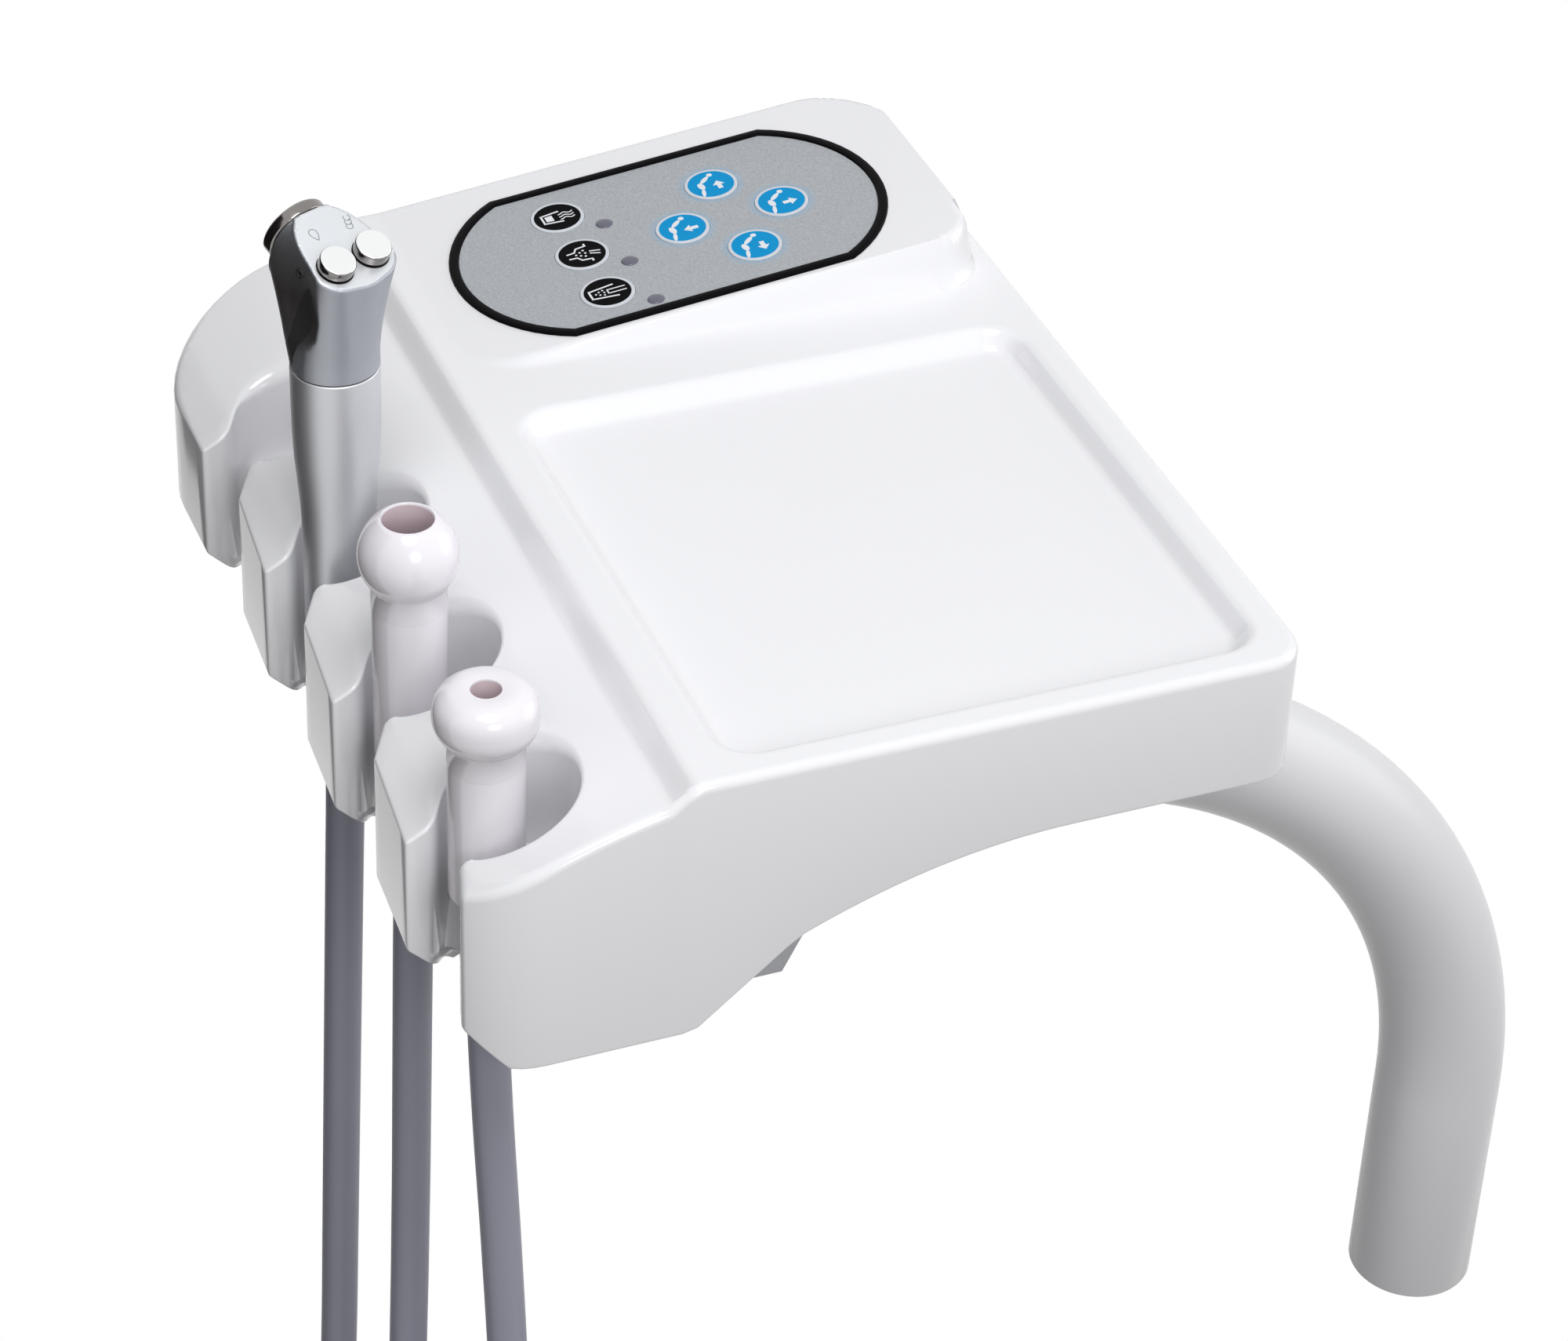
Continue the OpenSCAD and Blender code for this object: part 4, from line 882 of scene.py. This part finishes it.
KEY_R, KEY_RING_R, KEY_TOP = 7.85, 6.8, PLATE_T + 0.3
finish("ring_print", "d8dce2", "d0d4db", (0.3, 0.4), gloss=0.3)
finish("sign_print", "eef0f3", "e6e9ed", (0.35, 0.45), gloss=0.3)
cap = turn("key_cap", rounded([(0, -3), (2.5, -3), (2.5, -1.15), (8.8, -1.15), (8.8, -0.3), (KEY_R, -0.3),
                               (KEY_R, KEY_TOP, 0.25), (6.85, KEY_TOP), (0, KEY_TOP)]))
for name, (x, y) in KEYS.items():
    key = add(name + "_key_look", cap.data.copy())
    slot = "key_blue" if name in LIT_KEYS else "key_black"
    paint(key, slot, "ring_print", choose=lambda face: face.center.xy.length > KEY_RING_R * MM and face.center.z > 0)
    shade(key, 40)
    join(key, sign_plate(name, SIGNS[name], SIGN_SCALE, KEY_TOP, "sign_print"))
    place(key, pad_frame @ shift(x, y))
    dress(key, slot, name + "_button", name + "_key")
bpy.data.objects.remove(cap)

# %% Lenses
lens_line = [(0, 0), (2.45, 0), (2.45, 1.6), (2.3, 1.78), (1.9, 1.95), (1.2, 2.06), (0, 2.1)]
lenses = [turn("led_lenses_look", lens_line, 40) for _ in LENSES]
for lens, (x, y) in zip(lenses, LENSES):
    place(lens, pad_frame @ shift(x, y))
join(*lenses)
shade(lenses[0], 50)
dress(lenses[0], "lens", "console", "led_lenses")

# %% [markdown]
# ## Suction handpieces
# Two white plastic handpieces stand in the near slots. Each is a plain tube with a ball-shaped tip that turns on it;
# the strong suction has a round ball with a wide mouth, the saliva ejector a flattened ball with a narrow one. All
# of it is lathe work, so each piece is a rounded profile that is spun.

# %% Bodies
COLLAR = {"suction": 2.3, "ejector": -3.1}
for name, collar in COLLAR.items():
    tube = turn(name + "_body_look", rounded([
        (6.2, FOOT_Z), (9.9, FOOT_Z, 0.8), (9.9, collar, 0.03), (8.6, collar), (8.6, collar + 9, 0.4),
        (6.2, collar + 9, 0.4)]), closed=True)
    shade(tube)
    place(tube, slot_frame[name])
    dress(tube, "suction_plastic", name + "_handpiece", name + "_body")
    soften(name + "_hose_nut", 0.3, "rubber", name + "_handpiece")

# %% Tips
SKIRT_R, SKIRT_BORE = 9.97, 8.75


def ball_tip(name, ball_r, half_h, rise, mouth_r, lip, power):
    """A skirt over the tube, a ball that may be flattened on top, and a mouth with a rounded lip."""
    collar = COLLAR[name]
    foot = collar + 0.04
    low = sqrt(1 - (SKIRT_R / ball_r) ** 2)
    mid = collar + 7 + half_h * low
    crown = mid + rise
    top = (1 - ((mouth_r + lip) / ball_r) ** power) ** (1 / power)
    ball = [(ball_r * cos(s), mid + half_h * sin(s)) for s in np.linspace(-asin(low), 0, 12)]
    for s in np.linspace(0, asin(top), 16)[1:]:
        ball.append((ball_r * (1 - sin(s) ** power) ** (1 / power), mid + (crown - mid) * sin(s) / top))
    mouth = [(mouth_r + 0.4 * lip, crown + 0.02 * lip), (mouth_r + 0.12, crown - 0.15), (mouth_r, crown - 0.6),
             (mouth_r, collar + 12)]
    profile = [(SKIRT_BORE, foot), (9.92, foot), (SKIRT_R, foot + 0.05), (SKIRT_R, ball[0][1] - 0.4)] + ball[1:] + mouth
    piece = turn(name + "_tip_look", profile + [(SKIRT_BORE, collar + 9.4)], 72, closed=True)
    paint(piece, "suction_plastic", "mouth_plastic",
          choose=lambda face: face.center.xy.length < (mouth_r + 0.05) * MM)
    shade(piece, 40)
    place(piece, slot_frame[name])
    dress(piece, "suction_plastic", name + "_end", name + "_tip")


finish("mouth_plastic", "deced2", "d4c3c8", (0.2, 0.3), patch=60)
ball_tip("suction", 13.3, 13.3, 11.1, 6.7, 0.6, 2)
ball_tip("ejector", 13.6, 10.2, 8.3, 3.9, 4.8, 2.8)

# %% [markdown]
# ## Three-way syringe
# The syringe has a slim aluminium sleeve and a broad satin head that leans back. The head's face carries two chrome
# push buttons, one for air and one for water, and its far end carries the collar that takes a nozzle. The head is
# lofted: rings climb the body, tilt with the face and change from a circle to the face's pear shape.

# %% Frames of the syringe
SEAM_Z, FACE_Z, NOZZLE_BELOW, LEAN = 38.3, 77.2, 10, radians(24)
BUTTON_X, BUTTON_Y = -9.25, 5.95
syringe_frame = slot_frame["syringe"] @ Matrix.Rotation(radians(203), 4, "Z")
face_frame = syringe_frame @ shift(0, 0, FACE_Z) @ Matrix.Rotation(-LEAN, 4, "Y")
nozzle_frame = face_frame @ shift(0, 0, -NOZZLE_BELOW) @ Matrix.Rotation(radians(90), 4, "Y")

# %% Sleeve
sleeve_line = [(7.5, FOOT_Z), (9.6, FOOT_Z), (10, -44.3), (10, -20), (10.02, -14), (10.25, -7), (10.7, -1), (11.2, 5),
               (11.6, 10), (11.82, 15), (11.95, 20), (12, 25), (12, 37.7), (11.75, 38), (9, 38), (9, 8), (7.5, 8)]
sleeve = turn("syringe_sleeve_look", sleeve_line, 72, closed=True)
shade(sleeve, 30)
place(sleeve, syringe_frame)
dress(sleeve, "sleeve_metal", "syringe", "syringe_sleeve")
soften("syringe_hose_nut", 0.3, "chrome", "syringe")

# %% Head: its outline at each level
NOSE_X, NOSE_Z, BODY_R = 12.65, 71.9, 12


def head_circles(z):
    """The circles round which the outline is drawn: two lobes, one between them, one towards the collar."""
    climb = float(np.clip((z - 42) / 31.3, 0, 1)) ** 1.5
    lobe_x, lobe_y, lobe_r = -8.8 * climb, 5.6 * climb, BODY_R - 4.7 * climb
    if z < NOSE_Z:
        rise = (z - SEAM_Z) / 33.6
        nose = (NOSE_X * rise, 0, BODY_R - 2 * rise)
    else:
        over = (z - NOSE_Z) / cos(LEAN)
        nose = (NOSE_X - 0.445 * (z - NOSE_Z), 0, sqrt(max(100 - over ** 2, 0.5)))
    return (lobe_x, lobe_y, lobe_r), (lobe_x, -lobe_y, lobe_r), (-6.9 * climb, 0, BODY_R - 1.6 * climb), nose


AROUND = np.linspace(0, tau, 192, endpoint=False)
TANGENTS = np.linspace(0, tau, 720, endpoint=False)
LEVER = np.cos(AROUND[:, None] - TANGENTS[None, :])
FLANK_Z = (38, 43, 46, 50, 54, 58, 64, 69, 73, 84)
FLANK_Y = (12.8, 12.4, 11.8, 10.8, 9.9, 9.5, 10.1, 11.4, 13, 16)
CREASE_Z = (38.3, 44, 47, 49, 52, 58, 64, 73, 84)
CREASE_X = (11, 6, 0, -3.5, -6, -7.5, -8, -9, -9)


def head_level(z, inset=0):
    """One ring of the head, with its two sides pressed in to the hollow flanks."""
    reach = np.max([x * np.cos(TANGENTS) + y * np.sin(TANGENTS) + r for x, y, r in head_circles(z)], axis=0)
    radius = np.min(np.where(LEVER > 0.05, reach / np.maximum(LEVER, 0.05), 1000), axis=1) - inset
    x, y = radius * np.cos(AROUND), radius * np.sin(AROUND)
    crease = min(float(np.interp(z, CREASE_Z, CREASE_X)), -2)
    upper = slice(len(AROUND) // 2, None, -1)
    at_crease = np.interp(crease, x[upper], y[upper])
    hollow_y = np.mean([np.interp(z + d, FLANK_Z, FLANK_Y) for d in np.linspace(-2, 2, 9)])
    limit = hollow_y + 0.013 * np.maximum(x + 2, 0) ** 2
    limit = limit + max(at_crease - hollow_y, 0) * np.maximum((2 - x) / (2 - crease), 0) ** 2
    soft = np.interp(x - crease, (0, 5, 14), (0.12, 1.6, 2.6))
    over = np.clip((np.abs(y) - limit) / soft, -60, 60)
    hollow = np.sign(y) * (np.abs(y) - soft * np.log1p(np.exp(over)))
    return np.column_stack([x, hollow, np.full(len(x), z)])


# %% Head: levels, the cuts for collar and face, and rounded edges
to_face = np.array((face_frame.inverted() @ syringe_frame).to_3x3())
HEAD_LEVELS = [(SEAM_Z, 0.3), (SEAM_Z + 0.3, 0)] + [(z, 0) for z in np.arange(39.3, 83.5, 0.9)]
head_rings = [(head_level(*level) - (0, 0, FACE_Z)) @ to_face.T for level in HEAD_LEVELS]
head = loft("syringe_head_look", head_rings, close_first=True, close_last=True)
clean(head)
mode("EDIT")
for axis, end, middle in ((0, 9.3, (0, 0, -10)), (2, 0, (-3, 0, 0))):
    normal = [float(i == axis) for i in range(3)]
    bpy.ops.mesh.select_all(action="SELECT")
    bpy.ops.mesh.bisect(plane_co=[n * (end - 0.9) * MM for n in normal], plane_no=normal, clear_outer=True)
    for lift, shrink in ((0.45, 0.995), (0.25, 0.984), (0.15, 0.972), (0.05, 0.965)):
        bpy.ops.mesh.extrude_edges_move(TRANSFORM_OT_translate={"value": [n * lift * MM for n in normal]})
        bpy.ops.transform.resize(value=[1 if i == axis else shrink for i in range(3)],
                                 center_override=[c * MM for c in middle])
    bpy.ops.mesh.edge_face_add()
mode("OBJECT")
clean(head)
print("head:", len(head.data.polygons), "faces")

# %% Head: pockets for the buttons and the hole of the set screw
POCKET, SCREW_R, SCREW_X, SCREW_Z = 5.1, 1.55, -3, -6.5
for side in (-1, 1):
    drill(head, BUTTON_X, side * BUTTON_Y, 8, POCKET, 20)
drill(head, SCREW_X, 16.6, SCREW_Z, SCREW_R, 20, sides=32, tilt=90)
shade(head, 38)

# %% [markdown]
# ## Painted flank shade and etched signs of the head
# The head's hollow flanks are painted darker. This painted shade stands in for the dark surroundings they reflect, and
# its face has a brighter finish. Each vertex carries how far it lies inside the flank, and the finish mixes the
# painted shade in by that value, so the border can be sharp above and fade out below.
# A drop and a spray are etched next to the buttons. They are thin strokes sunk into the face almost to its level.

# %% Head: painted shade on its flanks, its bright face and the shadowed holes
points = np.array([v.co for v in head.data.vertices]) / MM
upright = points @ to_face + (0, 0, FACE_Z)
edge, soft = np.interp(upright[:, 2], CREASE_Z, CREASE_X), np.interp(upright[:, 2], (44, 51), (3, 0.25))
depth = np.interp(upright[:, 2], (38.3, 44, 60, 70, 80), (0.35, 0.75, 1, 0.65, 0.2))
# Painted shade: how much each vertex's colour is darkened, in place of the dark surroundings that the hollow flanks
# would reflect.
flank_painted_shade = depth / (1 + np.exp(np.clip((edge - upright[:, 0]) / soft, -60, 60)))
flank_painted_shade[points[:, 2] > -0.2] = 0
mark = head.data.attributes.new("flank_painted_shade", "FLOAT", "POINT")
mark.data.foreach_set("value", flank_painted_shade)
finish("face_metal", "e2e5e8", "dadde1", (0.3, 0.42), metallic=0.6, grain_size=1300, bump=0.04)
finish("pocket_shadow", "363435", "2c2a2b", (0.4, 0.5))


def head_finish(face):
    """0 for the body, 1 for the bright face, 2 inside the holes."""
    middle = face.center / MM
    in_pocket = hypot(middle.x - BUTTON_X, abs(middle.y) - BUTTON_Y) < POCKET + 0.05 and middle.z < -0.05
    in_hole = hypot(middle.x - SCREW_X, middle.z - SCREW_Z) < SCREW_R + 0.05 and middle.y > 0
    return 2 if in_pocket or in_hole else middle.z > -0.1


paint(head, "head_metal", "face_metal", "pocket_shadow", choose=head_finish)
hollow = node(finishes["head_metal"].node_tree, "Attribute", attribute_name="flank_painted_shade")
# Painted shade: the flanks are mixed towards a dark brownish grey by that value.
tint("head_metal", hollow, "Fac", "605b5b")
print("darkest flank value:", round(float(flank_painted_shade.max()), 2))

# %% Head: a faint drop for water and a faint spray for air, next to their buttons
finish("etched_line", "96999e", "8e9196", (0.4, 0.5), metallic=0.4)
drop_line = [(2 - 1.9 * cos(a), 4 + 1.5 * sin(a) * sin(a / 2)) for a in np.linspace(0.06, 6.22, 32)]
puffs = [[(2.9 - 1.3 * k + 0.95 * cos(a), -7.4 + 0.5 * k + 0.95 * sin(a))
          for a in np.linspace(0.6, 5.6, 16)] for k in range(3)]
ETCHED_W, ETCHED_AT = 0.26, -0.03
strokes = [ribbon(line, ETCHED_W) for line in [drop_line] + puffs]
join(head, sign_plate("face", strokes, 1, ETCHED_AT, "etched_line"))
place(head, face_frame)
dress(head, "head_metal", "syringe", "syringe_head")
set_screw = soften("head_set_screw", 0.1, "steel", "syringe")
paint(set_screw, "pocket_shadow")

# %% Collar and buttons
collar = turn("syringe_collar_look", rounded([
    (2.6, 9.4), (9.0, 9.4), (9.6, 10, 0.3), (9.6, 12.6, 0.3), (8.8, 13.4, 0.3), (4.2, 13.4), (4.2, 11.4),
    (2.6, 11.4)]), 72, closed=True)
shade(collar, 30)
place(collar, nozzle_frame)
# The collar gets the darker chrome, a painted dark reflection.
paint(collar, "chrome_painted_dark")
dress(collar, "chrome", "syringe", "syringe_collar")
BUTTON_R, BUTTON_TOP = 4.9, 3.6
button_line = rounded([(0, -10), (2, -10), (2, 0.2), (4.4, 0.2), (BUTTON_R, 0.7, 0.2), (BUTTON_R, 3.25, 0.2),
                       (4.6, BUTTON_TOP, 0.2), (0, BUTTON_TOP)])
for name, side in (("air", -1), ("water", 1)):
    button = turn(name + "_button_look", button_line, 56)
    # The tops get the brighter chrome and the sides the darker one: painted bright and dark reflections.
    paint(button, "chrome_painted_bright", "chrome_painted_dark", choose=lambda face: abs(face.normal.z) < 0.8)
    shade(button, 35)
    place(button, face_frame @ shift(BUTTON_X, side * BUTTON_Y))
    dress(button, "chrome", name + "_push", name + "_button")

# %% [markdown]
# ## Stage
# The object hangs on its arm, so the floor is far below and only sends plain light back up. The floor and the world
# are white where the camera, a mirror or glass looks at them, and give plain light to everything else. A dark card
# stands beside the object, out of the camera's sight. It darkens that side of the metal and of the walls, as a studio
# does with black felt.

# %% Floor, dark card and world
def stage_plane(name, finish_name, colour, size, location, tilt=0):
    deselect()
    bpy.ops.mesh.primitive_plane_add(size=size, location=location, rotation=(radians(tilt), 0, 0))
    plane = bpy.context.object
    plane.name = name
    matt = bpy.data.materials.new(finish_name)
    matt.use_nodes = True
    fill(matt.node_tree.nodes["Principled BSDF"], {"Base Color": (*colour, 1), "Roughness": 0.9})
    plane.data.materials.append(matt)
    return plane, matt.node_tree


def white_where_seen(tree, plain, output, white_kind):
    """White for camera, glossy and transmitted rays, the plain shader for the rest."""
    path = node(tree, "LightPath")
    either = node(tree, "Math", operation="MAXIMUM")
    seen = node(tree, "Math", operation="MAXIMUM")
    mix = node(tree, "MixShader")
    white = node(tree, white_kind, Color=(1, 1, 1, 1), Strength=1)
    wire(tree, (path, "Is Camera Ray", either, 0), (path, "Is Glossy Ray", either, 1), (either, 0, seen, 0),
         (path, "Is Transmission Ray", seen, 1), (seen, 0, mix, 0), (tree.nodes[plain], 0, mix, 1),
         (white, 0, mix, 2), (mix, 0, tree.nodes[output], "Surface"))


floor, paper = stage_plane("floor", "floor_paper", (0.26, 0.235, 0.225), 12, (0, 0, -0.75))
white_where_seen(paper, "Principled BSDF", "Material Output", "Emission")
card, _ = stage_plane("dark_card", "card_felt", (0.02, 0.018, 0.018), 1.6, (-0.8, -0.75, 0.1), tilt=90)
card.visible_camera = card.visible_shadow = card.visible_transmission = False
world = bpy.data.worlds.new("studio")
bpy.context.scene.world = world
world.use_nodes = True
fill(world.node_tree.nodes["Background"], {"Color": (0.97, 0.98, 1, 1), "Strength": 0.46})
white_where_seen(world.node_tree, "Background", "World Output", "Background")
print("stage:", floor.name, card.name, world.name)

# %% Lamps
target = Vector((-0.07, -0.22, 0.28))


def soft_lamp(name, place_at, size, power):
    deselect()
    bpy.ops.object.light_add(type="AREA", location=place_at)
    lamp = bpy.context.object
    lamp.name = name
    lamp.data.shape = "DISK"
    lamp.data.size = size
    lamp.data.energy = power
    lamp.rotation_euler = (target - Vector(place_at)).to_track_quat("-Z", "Y").to_euler()


soft_lamp("key_lamp", (0.8, -0.45, 2.42), 1.2, 27)
soft_lamp("front_lamp", (1.65, -0.3, 1.15), 0.8, 7)
soft_lamp("side_lamp", (0.13, 1.74, 0.62), 1.4, 8)
bpy.context.scene.view_settings.view_transform = "Standard"
